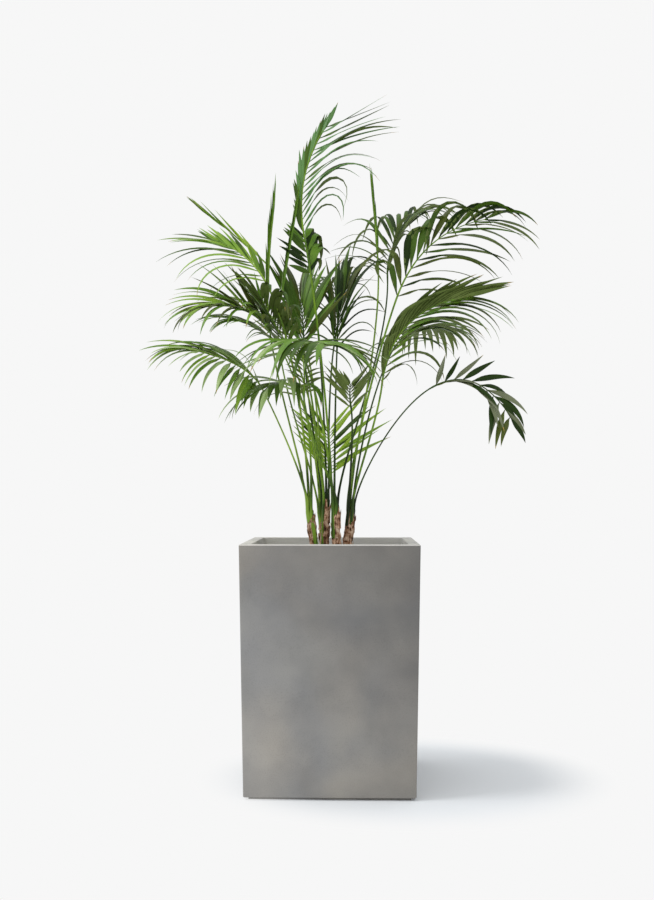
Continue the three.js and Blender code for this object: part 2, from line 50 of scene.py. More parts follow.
# ---------------------------------------------------------------- sizes

POT_HEIGHT = 600
POT_HALF_TOP = 215
POT_HALF_BOTTOM = 204
POT_WALL = 27
POT_CORNER = 4  # radius of the upright corners outside
POT_INNER_CORNER = 8
POT_EDGE = 2.2
FOOT_HALF = 192
FOOT_HEIGHT = 6
SOIL_TOP = 545
HOLLOW_DEPTH = 25  # how far the planter's hollow is modelled below the soil's top
SOIL_SKIN = 30  # how deep the soil's loose surface is modelled

PETIOLE_FOOT = 3.6  # radius where it leaves the stem
PETIOLE_NECK = 2.6  # radius where the leaflets begin
RIB_TIP = 0.9
PETIOLE_RING = 0.78  # the ring that a stem's petioles stand on, against the stem's radius
FLARE = 1.45  # a stem's foot against its shaft
FLARE_HEIGHT = 22
BASE_WIDTH = (5.4, 5.0)  # half width of a petiole's clasping base, at its start and at the stem's top
BASE_DEPTH = (1.2, 3.6)  # and its half depth
PETIOLE_OVAL = (1.08, 0.95)  # a petiole's half width and half depth, against its radius
SHEATH_LAYERS = 4
SHEATH_FIRST = 0.04  # the share of a stem's length below its first sheath
SHEATH_STEP = 0.2  # from the foot of one sheath to the next
SHEATH_TALL = 0.33
SHEATH_COLUMNS = 18
SHEATH_ROWS = 9
SHEATH_WRAP = (165, 62)  # degrees that a sheath reaches round each side of its stem, at its foot and its top
SHEATH_THICK = 0.7
SHEATH_TEAR = 0.28  # the deepest tear in a sheath's upper edge, against its height
FOOT_PULL = 0.16  # how far a petiole keeps upright at its foot, against its length
NECK_PULL = 0.3  # and how far it already points along its rib at the neck

FIRST_PAIR = 0.03  # the rib's share below the first pair of leaflets
LAST_PAIR = 0.98
FIRST_LENGTH = 0.25  # leaflet lengths along the rib follow a half wave, from this share of it
LAST_LENGTH = 0.78  # to this one
LEAST_WIDTH = 0.6  # width of the shortest leaflet, against the longest one's
LENGTH_VARIES = 0.13
DROOP_VARIES = 0.35
SPREAD_VARIES = 0.16
RAISE_VARIES = 10  # degrees
HANG = 1.3  # a leaflet that droops fully ends this steep, in radians below level
BEND_POWER = 1.3  # 1 would bend a leaflet evenly, and more leaves most of the bend to its outer half
HOOK_FROM = 0.3  # an upright leaflet stands up to this share of its length, then hooks over
HOOK_TO = 0.85
LEVELLED = 0.4  # the share of its length in which a leaflet has turned its face up

# Each stem: its foot in the soil, its top, and its radius.
STEMS = {
    "a": {"foot": (-38, -4), "top": (-54, -6, 684), "radius": 10},
    "b": {"foot": (-17, 40), "top": (-27, 42, 676), "radius": 9},
    "c": {"foot": (-14, 14), "top": (-13, 14, 706), "radius": 9},
    "d": {"foot": (16, -2), "top": (11, -2, 692), "radius": 11},
    "e": {"foot": (38, 24), "top": (50, 26, 682), "radius": 11},
}


def frond(stem, foot, neck, crest, tip, pairs, leaf, width, raise_, roll, left, right, tints, stalk="green"):
    """One frond: its stem, its petiole's bearing there, its rib's neck, middle and tip, and its leaflets.

    pairs is the number of leaflets on each side, and leaf and width are the size of the longest. In degrees,
    raise_ lifts the leaflets out of the blade's plane and roll turns the blade about its rib. left and right
    give the flanks, and tints the three greens that the leaflets are dealt.
    """
    return {
        "stem": stem, "foot": foot, "neck": Vector(neck), "crest": Vector(crest), "tip": Vector(tip),
        "pairs": pairs, "leaf": leaf, "width": width, "raise": raise_, "roll": roll,
        "sides": {1: flank(*left), -1: flank(*right)}, "tints": tints, "stalk": stalk,
    }


def flank(spread, droop, level, reach=1):
    """The leaflets on one side of a rib: their spread off it in degrees and their droop from 0 to 1.

    Each is given at the neck and at the tip. level is the share of the way that they turn their faces up, one
    for all or one each at the neck and at the tip, and reach is their length against the other flank's.
    """
    level = level if isinstance(level, tuple) else (level, level)
    return {"spread": spread, "droop": droop, "level": level, "reach": reach}


FRONDS = {
    "top": frond(
        "d", 170, (-70, 17, 1385), (-71, 28, 1540), (-14, 40, 1684), 18, 250, 18, 3, 52,
        ((8, 4), (0.05, 0), 0.1, 0.45), ((34, 44), (1.5, -0.2), 0.8), ("green", "cool", "cool")),
    "inner_top": frond(
        "c", 90, (-53, 35, 1291), (-60, 42, 1337), (-67, 55, 1390), 8, 120, 20, 0, 0,
        ((62, 38), (0.1, 0.1), 0.1, 0.75), ((25, 20), (1.6, 1.2), 0.4, 1.1),
        ("green", "mid", "deep"), "dark"),
    "upper_left": frond(
        "a", 114, (-163, -60, 1251), (-213, -43, 1316), (-285, -10, 1366), 12, 215, 18, 0, -40,
        ((60, 5), (1.2, 0.25), 0.8), ((20, 3), (0.2, 0), 0.3, 0.62), ("green", "mid", "fresh"), "lime"),
    "light_left": frond(
        "b", 70, (-174, 108, 1333), (-248, 128, 1402), (-326, 150, 1469), 5, 165, 14, 30, 20,
        ((8, 2), (0, 0), 0.2), ((8, 2), (0, 0), 0.2), ("fresh", "mid", "lime"), "lime"),
    "middle_left": frond(
        "c", 210, (-145, -30, 1120), (-209, -55, 1178), (-295, -95, 1187), 17, 200, 17, 20, -25,
        ((60, 12), (0.7, 0.9), 0.8), ((34, 10), (-0.6, 1.4), 0.3), ("mid", "olive", "fresh")),
    "under_left": frond(
        "a", 294, (-118, -38, 1078), (-173, -66, 1126), (-233, -100, 1150), 10, 160, 13, 10, -20,
        ((50, 10), (0.8, 0.8), 0.8), ((30, 8), (0.5, 0.6), 0.6), ("mid", "green", "fresh")),
    "low_left": frond(
        "a", 234, (-172, -70, 984), (-223, -110, 1033), (-318, -170, 1066), 14, 215, 21, -5, -45,
        ((78, 26), (0.95, 0.8), 0.9, 0.72), ((22, 6), (0.6, 0.75), 0.7), ("pale", "fresh", "mid"), "lime"),
    "front_left": frond(
        "b", 250, (-79, -70, 964), (-109, -110, 993), (-150, -160, 981), 9, 190, 20, 5, 0,
        ((60, 25), (1.1, 1), 0.8), ((60, 25), (1.1, 1), 0.8), ("green", "pale", "mid"), "lime"),
    "front": frond(
        "d", 230, (-68, -90, 1062), (-63, -160, 1083), (-11, -280, 1069), 17, 235, 20, 5, 0,
        ((75, 35), (1.1, 0.8), 0.8), ((75, 35), (0.8, 0.9), 0.8), ("green", "mid", "pale")),
    "comb": frond(
        "d", 290, (-65, -105, 966), (-64, -125, 1018), (-68, -160, 1068), 11, 60, 7, 15, 0,
        ((60, 30), (0.3, 0.3), 0.2), ((60, 30), (0.3, 0.3), 0.2), ("deep", "green", "deep")),
    "centre_left": frond(
        "c", 150, (-110, -15, 1097), (-145, -35, 1155), (-172, -70, 1206), 12, 175, 17, 20, 0,
        ((60, 25), (0.9, 0.7), 0.6), ((38, 12), (0.05, 0.2), 0.2), ("mid", "olive", "green"), "lime"),
    "centre": frond(
        "b", 310, (-72, 52, 1105), (-76, 68, 1171), (-84, 100, 1235), 13, 195, 21, 35, 0,
        ((42, 10), (0, 0.15), 0.1), ((42, 10), (0.05, 0.15), 0.1), ("green", "olive", "mid"), "dark"),
    "centre_right": frond(
        "c", 330, (6, 70, 1107), (19, 95, 1185), (37, 130, 1266), 10, 265, 13, 20, 0,
        ((16, 5), (0, 0.5), 0.2), ((24, 6), (0.1, 0.6), 0.2), ("deep", "olive", "green"), "dark"),
    "low_front": frond(
        "b", 10, (-3, 74, 768), (-6, 100, 834), (-9, 130, 890), 14, 175, 12, 12, 0,
        ((50, 34), (0.05, 0.05), 0.1, 0.85), ((58, 38), (0.05, 0.05), 0.1, 1.05),
        ("lime", "fresh", "green"), "lime"),
    "right_front": frond(
        "e", -130, (51, -95, 932), (48, -135, 962), (50, -180, 983), 8, 110, 15, 25, 0,
        ((45, 20), (0.1, 0.1), 0.1), ((45, 20), (0.1, 0.1), 0.1), ("deep", "green", "deep"), "dark"),
    "upper_right": frond(
        "e", 170, (168, 45, 1224), (262, 75, 1375), (413, 110, 1451), 13, 245, 23, 20, 75,
        ((34, 16), (1.15, 0.8), (0.1, 0.9), 0.95), ((58, 12), (0.75, 0.75), 0.9), ("green", "deep", "olive")),
    "middle_right": frond(
        "e", -70, (129, -40, 996), (186, -85, 1134), (320, -140, 1200), 18, 255, 22, 10, -30,
        ((50, 14), (0.9, 0.85), 0.9, 0.95), ((4, 2), (0.45, 0.1), 0.1, 0.8), ("mid", "olive", "mid")),
    "inner_right": frond(
        "e", 50, (164, 72, 1102), (219, 120, 1156), (296, 180, 1173), 14, 200, 18, 10, 0,
        ((60, 25), (1, 1), 0.7), ((60, 25), (1, 1), 0.7), ("deep", "green", "olive"), "dark"),
    "low_right": frond(
        "e", -10, (258, -30, 990), (360, -62, 997), (446, -95, 905), 11, 190, 20, 20, 45,
        ((52, 8), (-1.5, 3.4), 0.1, 0.6), ((12, 70), (0.75, 0.9), 0.5, 0.8),
        ("grey", "deep", "olive"), "dark"),
    "back_right": frond(
        "d", 50, (151, 205, 1317), (168, 235, 1407), (226, 290, 1489), 16, 240, 15, 35, 0,
        ((55, 20), (0.8, 0.9), 0.9), ((45, 15), (0.9, 0.9), 0.9), ("deep", "green", "olive"), "dark"),
    "back": frond(
        "d", 110, (13, 130, 1104), (12, 190, 1236), (-3, 270, 1311), 12, 170, 16, 35, 0,
        ((50, 20), (0.8, 0.8), 0.8), ((50, 20), (0.8, 0.8), 0.8), ("deep", "green", "deep"), "dark"),
    "back_left": frond(
        "b", 130, (-98, 150, 1121), (-175, 240, 1217), (-269, 340, 1270), 12, 150, 16, 20, 0,
        ((55, 25), (0.6, 0.5), 0.8), ((55, 25), (0.6, 0.5), 0.8), ("green", "deep", "mid")),
}


def spear(stem, foot, neck, crest, tip, width):
    """One unopened frond: its stem, its petiole's bearing there, and its blade's curve and width."""
    return {
        "stem": stem, "foot": foot, "neck": Vector(neck), "crest": Vector(crest), "tip": Vector(tip),
        "width": width, "roll": 0, "stalk": "lime",
    }


SPEARS = {
    "spear_left": spear("a", 174, (-163, -10, 1216), (-158, -10, 1345), (-144, -15, 1481), 12),
    "spear_middle": spear("b", 190, (-135, 10, 1204), (-112, 12, 1342), (-89, 14, 1475), 15),
    "spear_right": spear("e", 110, (123, 115, 1338), (115, 112, 1445), (104, 105, 1560), 10),
}

# ---------------------------------------------------------------- small tools


def lerp(a, b, t):
    return a + (b - a) * t


def ease(t):
    """A smooth step from 0 to 1, level at both ends."""
    t = min(1, max(0, t))
    return t * t * (3 - 2 * t)


def vary(index, seed):
    """An even spread of numbers from -1 to 1 that is the same every time."""
    wave = sin(index * 12.9898 + seed * 78.233) * 43758.5453
    return 2 * (wave - floor(wave)) - 1


def turned(vector, axis, degrees):
    """The vector turned about an axis, anticlockwise as seen from the axis's tip."""
    return Matrix.Rotation(radians(degrees), 3, axis) @ vector


def only_verts(items):
    """The vertices among the pieces of geometry that an operator returns."""
    return [item for item in items if isinstance(item, bmesh.types.BMVert)]


class Path:
    """A Bezier curve that is read by its share of length."""

    STEPS = 200
    NEAR = 0.004  # a direction is read between two points this share of the length before and after

    def __init__(self, *controls):
        self.controls = controls
        self.points = [self.point(i / self.STEPS) for i in range(self.STEPS + 1)]
        self.lengths = [0]
        for a, b in zip(self.points, self.points[1:]):
            self.lengths.append(self.lengths[-1] + (b - a).length)

    def point(self, t):
        """A point at the curve's own parameter, by de Casteljau's steps."""
        row = list(self.controls)
        while len(row) > 1:
            row = [a.lerp(b, t) for a, b in zip(row, row[1:])]
        return row[0]

    def at(self, share):
        """The point at a share of the length."""
        aim = min(1, max(0, share)) * self.lengths[-1]
        low = 0
        high = self.STEPS
        while high - low > 1:
            middle = (low + high) // 2
            low, high = (middle, high) if self.lengths[middle] <= aim else (low, middle)
        span = self.lengths[high] - self.lengths[low]
        return self.points[low].lerp(self.points[high], (aim - self.lengths[low]) / span)

    def along(self, share):
        """The direction at a share of the length."""
        return (self.at(share + self.NEAR) - self.at(share - self.NEAR)).normalized()

    @property
    def length(self):
        return self.lengths[-1]


def add_mesh(name, mesh, materials, nodes=()):
    """Adds a finished mesh as a piece of the plant, in place of the CAD nodes that it stands for."""
    for material in materials:
        mesh.materials.append(material)
    piece = bpy.data.objects.new(name, mesh)
    bpy.context.scene.collection.objects.link(piece)
    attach(piece, "root")
    if nodes:
        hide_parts(*nodes)


def add_bmesh(name, bm, materials, nodes=(), sharp=0):
    """Scales a bmesh to metres and adds it as a piece, smooth but for edges over this many degrees."""
    bmesh.ops.scale(bm, vec=(MM, MM, MM), verts=bm.verts)
    bmesh.ops.recalc_face_normals(bm, faces=bm.faces)
    for face in bm.faces:
        face.smooth = sharp > 0
    mesh = bpy.data.meshes.new(name)
    bm.to_mesh(mesh)
    bm.free()
    if sharp > 0:
        mesh.set_sharp_from_angle(angle=radians(sharp))
    add_mesh(name, mesh, materials, nodes)


# ---------------------------------------------------------------- materials


def linear(code):
    """An sRGB hex colour as linear red, green, blue and alpha."""
    channels = [int(code[i:i + 2], 16) / 255 for i in (1, 3, 5)]
    return [c / 12.92 if c <= 0.04045 else ((c + 0.055) / 1.055) ** 2.4 for c in channels] + [1]


def add_node(tree, kind, inputs=None, stops=(), **settings):
    """Adds a node with its settings, and its inputs as values or as links from other nodes' outputs.

    stops are a colour ramp's, each a place from 0 to 1 and a hex colour.
    """
    node = tree.nodes.new(kind)
    for name, value in settings.items():
        setattr(node, name, value)
    for name, value in (inputs or {}).items():
        if isinstance(value, bpy.types.NodeSocket):
            tree.links.new(value, node.inputs[name])
        else:
            node.inputs[name].default_value = value
    if stops:
        elements = node.color_ramp.elements
        while len(elements) < len(stops):
            elements.new(0.5)
        for element, (position, code) in zip(elements, stops):
            element.position = position
            element.color = linear(code)
    return node


def new_material(name, **sockets):
    """A material with its shader's constant sockets set. Returns it, its node tree and its shader."""
    material = bpy.data.materials.new(name)
    material.use_nodes = True
    shader = material.node_tree.nodes["Principled BSDF"]
    for socket, value in sockets.items():
        shader.inputs[socket.replace("_", " ")].default_value = value
    return material, material.node_tree, shader


def scale_for(size):
    """A pattern's scale on Object coordinates, which are in metres, from its marks' size in millimetres."""
    return 1 / (size * MM)


def leaf_material(name, dark, light, roughness=0.4, sheen=0.28):
    """Palm leaflet, living and waxy: a satin green that drifts a little, with fine veins along the leaflet.

    UV x runs from -1 to 1 across a leaflet, and y along it in centimetres. Real veins are under a millimetre
    apart, too fine to show, so they are drawn coarser: seven to a half width, in marks 40 mm long.
    """
    material, tree, shader = new_material(
        name, IOR=1.45, Coat_Weight=0.25 * sheen, Coat_Roughness=0.25, Specular_IOR_Level=sheen)
    place = add_node(tree, "ShaderNodeTexCoord")
    drift = add_node(
        tree, "ShaderNodeTexNoise",
        {"Vector": place.outputs["Object"], "Scale": scale_for(71.43), "Detail": 2})
    vein_place = add_node(
        tree, "ShaderNodeMapping", {"Vector": place.outputs["UV"], "Scale": (7, 10 / 40, 1)})
    veins = add_node(
        tree, "ShaderNodeTexNoise", {"Vector": vein_place.outputs["Vector"], "Scale": 1, "Detail": 1})
    both = add_node(
        tree, "ShaderNodeMix", {"Factor": 0.45, "A": drift.outputs["Fac"], "B": veins.outputs["Fac"]})
    blade = add_node(
        tree, "ShaderNodeValToRGB", {"Fac": both.outputs["Result"]}, ((0.37, dark), (0.63, light)))
    across = add_node(tree, "ShaderNodeSeparateXYZ", {"Vector": place.outputs["UV"]})
    offset = add_node(tree, "ShaderNodeMath", {0: across.outputs["X"]}, operation="ABSOLUTE")
    midrib = add_node(
        tree, "ShaderNodeMapRange",
        {"Value": offset.outputs["Value"], "From Min": 0.03, "From Max": 0.16, "To Min": 0.6, "To Max": 0})
    colour = add_node(
        tree, "ShaderNodeMix",
        {"Factor": midrib.outputs["Result"], "A": blade.outputs["Color"], "B": linear(light)},
        data_type="RGBA")
    bump = add_node(
        tree, "ShaderNodeBump", {"Height": veins.outputs["Fac"], "Strength": 0.35, "Distance": 0.0004})
    gloss = add_node(
        tree, "ShaderNodeMapRange",
        {"Value": drift.outputs["Fac"], "To Min": roughness - 0.08, "To Max": roughness + 0.12})
    tree.links.new(colour.outputs["Result"], shader.inputs["Base Color"])
    tree.links.new(gloss.outputs["Result"], shader.inputs["Roughness"])
    tree.links.new(bump.outputs["Normal"], shader.inputs["Normal"])
    return material


def stalk_material(name, dark, light, foot):
    """Palm petiole, living and smooth: long streaks of greens under a satin skin, darker streaks low down."""
    material, tree, shader = new_material(
        name, IOR=1.45, Roughness=0.38, Coat_Weight=0.04, Coat_Roughness=0.2, Specular_IOR_Level=0.25)
    place = add_node(tree, "ShaderNodeTexCoord")
    stretched = add_node(
        tree, "ShaderNodeMapping",
        {"Vector": place.outputs["Object"], "Scale": (scale_for(3.846), scale_for(3.846), scale_for(111.1))})
    streaks = add_node(
        tree, "ShaderNodeTexNoise", {"Vector": stretched.outputs["Vector"], "Scale": 1, "Detail": 3})
    drift = add_node(
        tree, "ShaderNodeTexNoise",
        {"Vector": place.outputs["Object"], "Scale": scale_for(111.1), "Detail": 1})
    both = add_node(
        tree, "ShaderNodeMix", {"Factor": 0.5, "A": streaks.outputs["Fac"], "B": drift.outputs["Fac"]})
    upper = add_node(
        tree, "ShaderNodeValToRGB", {"Fac": both.outputs["Result"]}, ((0.35, dark), (0.62, light)))
    lower = add_node(
        tree, "ShaderNodeValToRGB", {"Fac": both.outputs["Result"]},
        ((0.4, foot), (0.48, dark), (0.6, light)))
    height = add_node(tree, "ShaderNodeSeparateXYZ", {"Vector": place.outputs["Object"]})
    rise = add_node(
        tree, "ShaderNodeMapRange", {"Value": height.outputs["Z"], "From Min": 0.66, "From Max": 0.95},
        interpolation_type="SMOOTHSTEP")
    colour = add_node(
        tree, "ShaderNodeMix",
        {"Factor": rise.outputs["Result"], "A": lower.outputs["Color"], "B": upper.outputs["Color"]},
        data_type="RGBA")
    tree.links.new(colour.outputs["Result"], shader.inputs["Base Color"])
    bump = add_node(
        tree, "ShaderNodeBump", {"Height": streaks.outputs["Fac"], "Strength": 0.25, "Distance": 0.0005})
    tree.links.new(bump.outputs["Normal"], shader.inputs["Normal"])
    return material


def fibre_material(name, dark, middle, light):
    """Dead leaf sheath, dried on the stem: matt brown fibres, with pale and dark patches.

    Real fibres are under a millimetre wide, too fine to show, so they are drawn as bundles 2.4 mm wide.
    """
    material, tree, shader = new_material(name, IOR=1.4, Roughness=0.88, Specular_IOR_Level=0.2)
    place = add_node(tree, "ShaderNodeTexCoord")
    stretched = add_node(
        tree, "ShaderNodeMapping",
        {"Vector": place.outputs["Object"], "Scale": (scale_for(2.381), scale_for(2.381), scale_for(35.71))})
    fibres = add_node(
        tree, "ShaderNodeTexNoise", {"Vector": stretched.outputs["Vector"], "Scale": 1, "Detail": 4})
    patches = add_node(
        tree, "ShaderNodeTexNoise",
        {"Vector": place.outputs["Object"], "Scale": scale_for(13.33), "Detail": 4, "Roughness": 0.65})
    both = add_node(
        tree, "ShaderNodeMix", {"Factor": 0.55, "A": fibres.outputs["Fac"], "B": patches.outputs["Fac"]})
    colour = add_node(
        tree, "ShaderNodeValToRGB", {"Fac": both.outputs["Result"]},
        ((0.41, dark), (0.49, middle), (0.58, light)))
    tree.links.new(colour.outputs["Color"], shader.inputs["Base Color"])
    bump = add_node(
        tree, "ShaderNodeBump", {"Height": fibres.outputs["Fac"], "Strength": 0.8, "Distance": 0.0015})
    tree.links.new(bump.outputs["Normal"], shader.inputs["Normal"])
    return material


# Painted light and shade: the cement is painted paler towards this side and darker away from it.
PAINTED_LIGHT_SIDE = (-1.7, 0, -1.1)  # the cement grows paler this way, to the left and down


def cement_material(name, cool_tones, warm_tones, painted_shade_tone):
    """Fibre cement, cast and rubbed smooth: soft clouds, dull stains, fine grit, and painted light and shade.

    Real grit is under a millimetre, too fine to show, so it is drawn at 2.4 mm. Pinholes lie 18 mm apart.
    """
    material, tree, shader = new_material(name, IOR=1.5, Specular_IOR_Level=0.35)
    place = add_node(tree, "ShaderNodeTexCoord").outputs["Object"]
    clouds = add_node(
        tree, "ShaderNodeTexNoise",
        {"Vector": place, "Scale": scale_for(166.7), "Detail": 3, "Roughness": 0.5, "Distortion": 0.2})
    warmth = add_node(
        tree, "ShaderNodeTexNoise",
        {"Vector": place, "Scale": scale_for(312.5), "Detail": 2, "Roughness": 0.45, "Distortion": 0.6})
    stains = add_node(
        tree, "ShaderNodeTexNoise",
        {"Vector": place, "Scale": scale_for(111.1), "Detail": 3, "Roughness": 0.5, "Distortion": 0.1})
    grit = add_node(tree, "ShaderNodeTexNoise", {"Vector": place, "Scale": scale_for(2.381), "Detail": 3})
    cool = add_node(
        tree, "ShaderNodeValToRGB", {"Fac": clouds.outputs["Fac"]}, tuple(zip((0.35, 0.65), cool_tones)))
    warm = add_node(
        tree, "ShaderNodeValToRGB", {"Fac": clouds.outputs["Fac"]}, tuple(zip((0.35, 0.65), warm_tones)))
    warm_share = add_node(
        tree, "ShaderNodeValToRGB", {"Fac": warmth.outputs["Fac"]}, ((0.38, "#000000"), (0.6, "#FFFFFF")))
    colour = add_node(
        tree, "ShaderNodeMix",
        {"Factor": warm_share.outputs["Color"], "A": cool.outputs["Color"], "B": warm.outputs["Color"]},
        data_type="RGBA")
    # Painted light and shade: paler low on the left, darker high on the right.
    slant = add_node(tree, "ShaderNodeVectorMath", {0: place, 1: PAINTED_LIGHT_SIDE}, operation="DOT_PRODUCT")
    painted_light_and_shade = add_node(
        tree, "ShaderNodeMapRange", {"Value": slant.outputs["Value"], "From Min": -0.85, "From Max": 0.15})
    layers = (
        (1, painted_light_and_shade.outputs["Result"], ((0, painted_shade_tone), (1, "#FFFFFF"))),
        (0.4, stains.outputs["Fac"], ((0.3, "#C6CACF"), (0.62, "#FFFFFF"))),
        (0.35, grit.outputs["Fac"], ((0.3, "#D8D8D8"), (0.5, "#FFFFFF"))),
    )
    for share, pattern, stops in layers:
        layer = add_node(tree, "ShaderNodeValToRGB", {"Fac": pattern}, stops)
        colour = add_node(
            tree, "ShaderNodeMix",
            {"Factor": share, "A": colour.outputs["Result"], "B": layer.outputs["Color"]},
            data_type="RGBA", blend_type="MULTIPLY")
    tree.links.new(colour.outputs["Result"], shader.inputs["Base Color"])
    pores = add_node(tree, "ShaderNodeTexVoronoi", {"Vector": place, "Scale": scale_for(18.18)})
    pinholes = add_node(
        tree, "ShaderNodeMapRange",
        {"Value": pores.outputs["Distance"], "From Min": 0.03, "From Max": 0.07})
    height = add_node(
        tree, "ShaderNodeMath", {0: grit.outputs["Fac"], 1: pinholes.outputs["Result"]}, operation="ADD")
    bump = add_node(
        tree, "ShaderNodeBump", {"Height": height.outputs["Value"], "Strength": 0.35, "Distance": 0.0006})
    tree.links.new(bump.outputs["Normal"], shader.inputs["Normal"])
    rough = add_node(
        tree, "ShaderNodeMapRange", {"Value": clouds.outputs["Fac"], "To Min": 0.6, "To Max": 0.82})
    tree.links.new(rough.outputs["Result"], shader.inputs["Roughness"])
    return material


def soil_material(name, dark, light):
    """Potting soil, loose and moist: near-black brown crumbs with paler fibres."""
    material, tree, shader = new_material(name, Roughness=0.95, Specular_IOR_Level=0.25)
    place = add_node(tree, "ShaderNodeTexCoord")
    crumbs = add_node(
        tree, "ShaderNodeTexNoise",
        {"Vector": place.outputs["Object"], "Scale": scale_for(6.25), "Detail": 6, "Roughness": 0.7})
    colour = add_node(
        tree, "ShaderNodeValToRGB", {"Fac": crumbs.outputs["Fac"]}, ((0.35, dark), (0.7, light)))
    tree.links.new(colour.outputs["Color"], shader.inputs["Base Color"])
    bump = add_node(
        tree, "ShaderNodeBump", {"Height": crumbs.outputs["Fac"], "Strength": 1.0, "Distance": 0.003})
    tree.links.new(bump.outputs["Normal"], shader.inputs["Normal"])
    return material


def sweep_material(name, paint, glow, middle, reach):
    """A studio floor: matt paint that takes shadows in an oval round the object, and an even glow beyond."""
    material, tree, shader = new_material(
        name, Base_Color=linear(paint), Roughness=0.9, Specular_IOR_Level=0)
    spot = add_node(tree, "ShaderNodeTexCoord").outputs["Object"]
    oval = add_node(
        tree, "ShaderNodeMapping", {"Vector": spot, "Location": middle, "Scale": reach},
        vector_type="TEXTURE")
    far = add_node(tree, "ShaderNodeVectorMath", {0: oval.outputs["Vector"]}, operation="LENGTH")
    fade = add_node(
        tree, "ShaderNodeMapRange",
        {"Value": far.outputs["Value"], "From Min": SHADOW_KEPT, "From Max": SHADOW_GONE},
        interpolation_type="SMOOTHSTEP")
    even = add_node(tree, "ShaderNodeEmission", {"Color": linear(glow), "Strength": 1})
    both = add_node(tree, "ShaderNodeMixShader", {"Fac": fade.outputs["Result"]})
    tree.links.new(shader.outputs["BSDF"], both.inputs[1])
    tree.links.new(even.outputs["Emission"], both.inputs[2])
    tree.links.new(both.outputs["Shader"], tree.nodes["Material Output"].inputs["Surface"])
    return material


# The leaflets' greens: dark on old fronds, and dark as painted shade on fronds inside and behind the crown;
# fresh on new ones; and cool, pale or grey ones are a painted sheen of the sky on waxy faces.
TINTS = {
    "deep": leaf_material("leaflet_deep_green", "#18280A", "#2D4512", 0.45, 0.14),
    "olive": leaf_material("leaflet_olive", "#333E11", "#5D6A26", 0.42, 0.2),
    "green": leaf_material("leaflet_green", "#2E490E", "#52721F", 0.4, 0.2),
    "mid": leaf_material("leaflet_mid_green", "#527B20", "#70972E"),
    "cool": leaf_material("leaflet_cool_green", "#497433", "#689353", 0.4, 0.3),
    "fresh": leaf_material("leaflet_fresh_green", "#6F9A2D", "#92B43E"),
    "pale": leaf_material("leaflet_pale_painted_sheen", "#7D9B52", "#A7BF7C", 0.36, 0.4),
    "grey": leaf_material("leaflet_grey_green", "#565E3E", "#7B8264", 0.38, 0.32),
    "lime": leaf_material("leaflet_new_lime", "#87AF29", "#A9C93D"),
}
UNDERSIDE = leaf_material("leaflet_underside", "#50612C", "#718343", 0.55, 0.18)
DRY_TIP = leaf_material("leaflet_dry_tip", "#8A7A3C", "#A88F4E", 0.7)
STALKS = {
    "green": stalk_material("petiole_green", "#426614", "#8AB034", "#26390D"),
    "lime": stalk_material("petiole_lime", "#52731C", "#98BA44", "#344C14"),
    # The dark kind is painted shade, for petioles inside, behind and under the crown.
    "dark": stalk_material("petiole_dark_green_painted_shade", "#22350F", "#41601E", "#1E2711"),
}
FIBRE = fibre_material("stem_sheath_fibre", "#1C110A", "#9C6C4E", "#ECC6A6")
FIBRE_PALE = fibre_material("stem_sheath_pale", "#2E1D13", "#BC8F6F", "#F4DCC2")
CEMENT = cement_material(
    "fibre_cement_rubbed", ("#949494", "#A09F9C"), ("#9B9791", "#AAA59D"), "#C2C2C2")
# A paler copy of the cement, as painted light, for the rim's top and the inside walls.
CEMENT_RIM_LIT = cement_material(
    "fibre_cement_rim_painted_light", ("#D2D1CE", "#DCDAD6"), ("#D6D2CB", "#E0DCD5"), "#FFFFFF")
SOIL = soil_material("potting_soil_moist", "#17110D", "#3F3024")
CRUMB = soil_material("soil_crumb", "#1E1611", "#4D3B2C")
CHIP = fibre_material("bark_chip", "#33241A", "#6B4B34", "#94704F")


# ---------------------------------------------------------------- planter and soil

SAME = 0.01  # two places are the same when they are this close
CREASE = 0.7  # radians
HEAP_HEIGHT = 5  # the soil's heap round the stems
HEAP_REACH = 70


def upright_edges(bm, half):
    """The corner edges of a square wall whose top is this far from the middle."""
    chosen = []
    for edge in bm.edges:
        low, high = sorted((v.co for v in edge.verts), key=lambda place: place.z)
        upright = high.z - low.z > SAME
        in_corners = all(abs(abs(place.x) - abs(place.y)) < SAME for place in (low, high))
        if upright and in_corners and abs(abs(high.x) - half) < SAME:
            chosen.append(edge)
    return chosen


def level_edges(bm):
    """The creases that lie level: round the rim, outside and inside, and round the underside's step."""
    chosen = []
    for edge in bm.edges:
        low, high = sorted(v.co.z for v in edge.verts)
        creased = len(edge.link_faces) == 2 and edge.calc_face_angle(0) > CREASE
        in_place = any(abs(low - height) < SAME for height in (POT_HEIGHT, FOOT_HEIGHT))
        if creased and high - low < SAME and in_place:
            chosen.append(edge)
    return chosen


def sink(bm, face, thickness, depth):
    """Insets a face by a wall's thickness and moves it along Z by the depth, for a recess or a foot."""
    bmesh.ops.inset_region(bm, faces=[face], thickness=thickness, use_even_offset=True)
    grown = bmesh.ops.extrude_face_region(bm, geom=[face])["geom"]
    bmesh.ops.translate(bm, vec=(0, 0, depth), verts=only_verts(grown))
    bmesh.ops.delete(bm, geom=[face], context="FACES_ONLY")


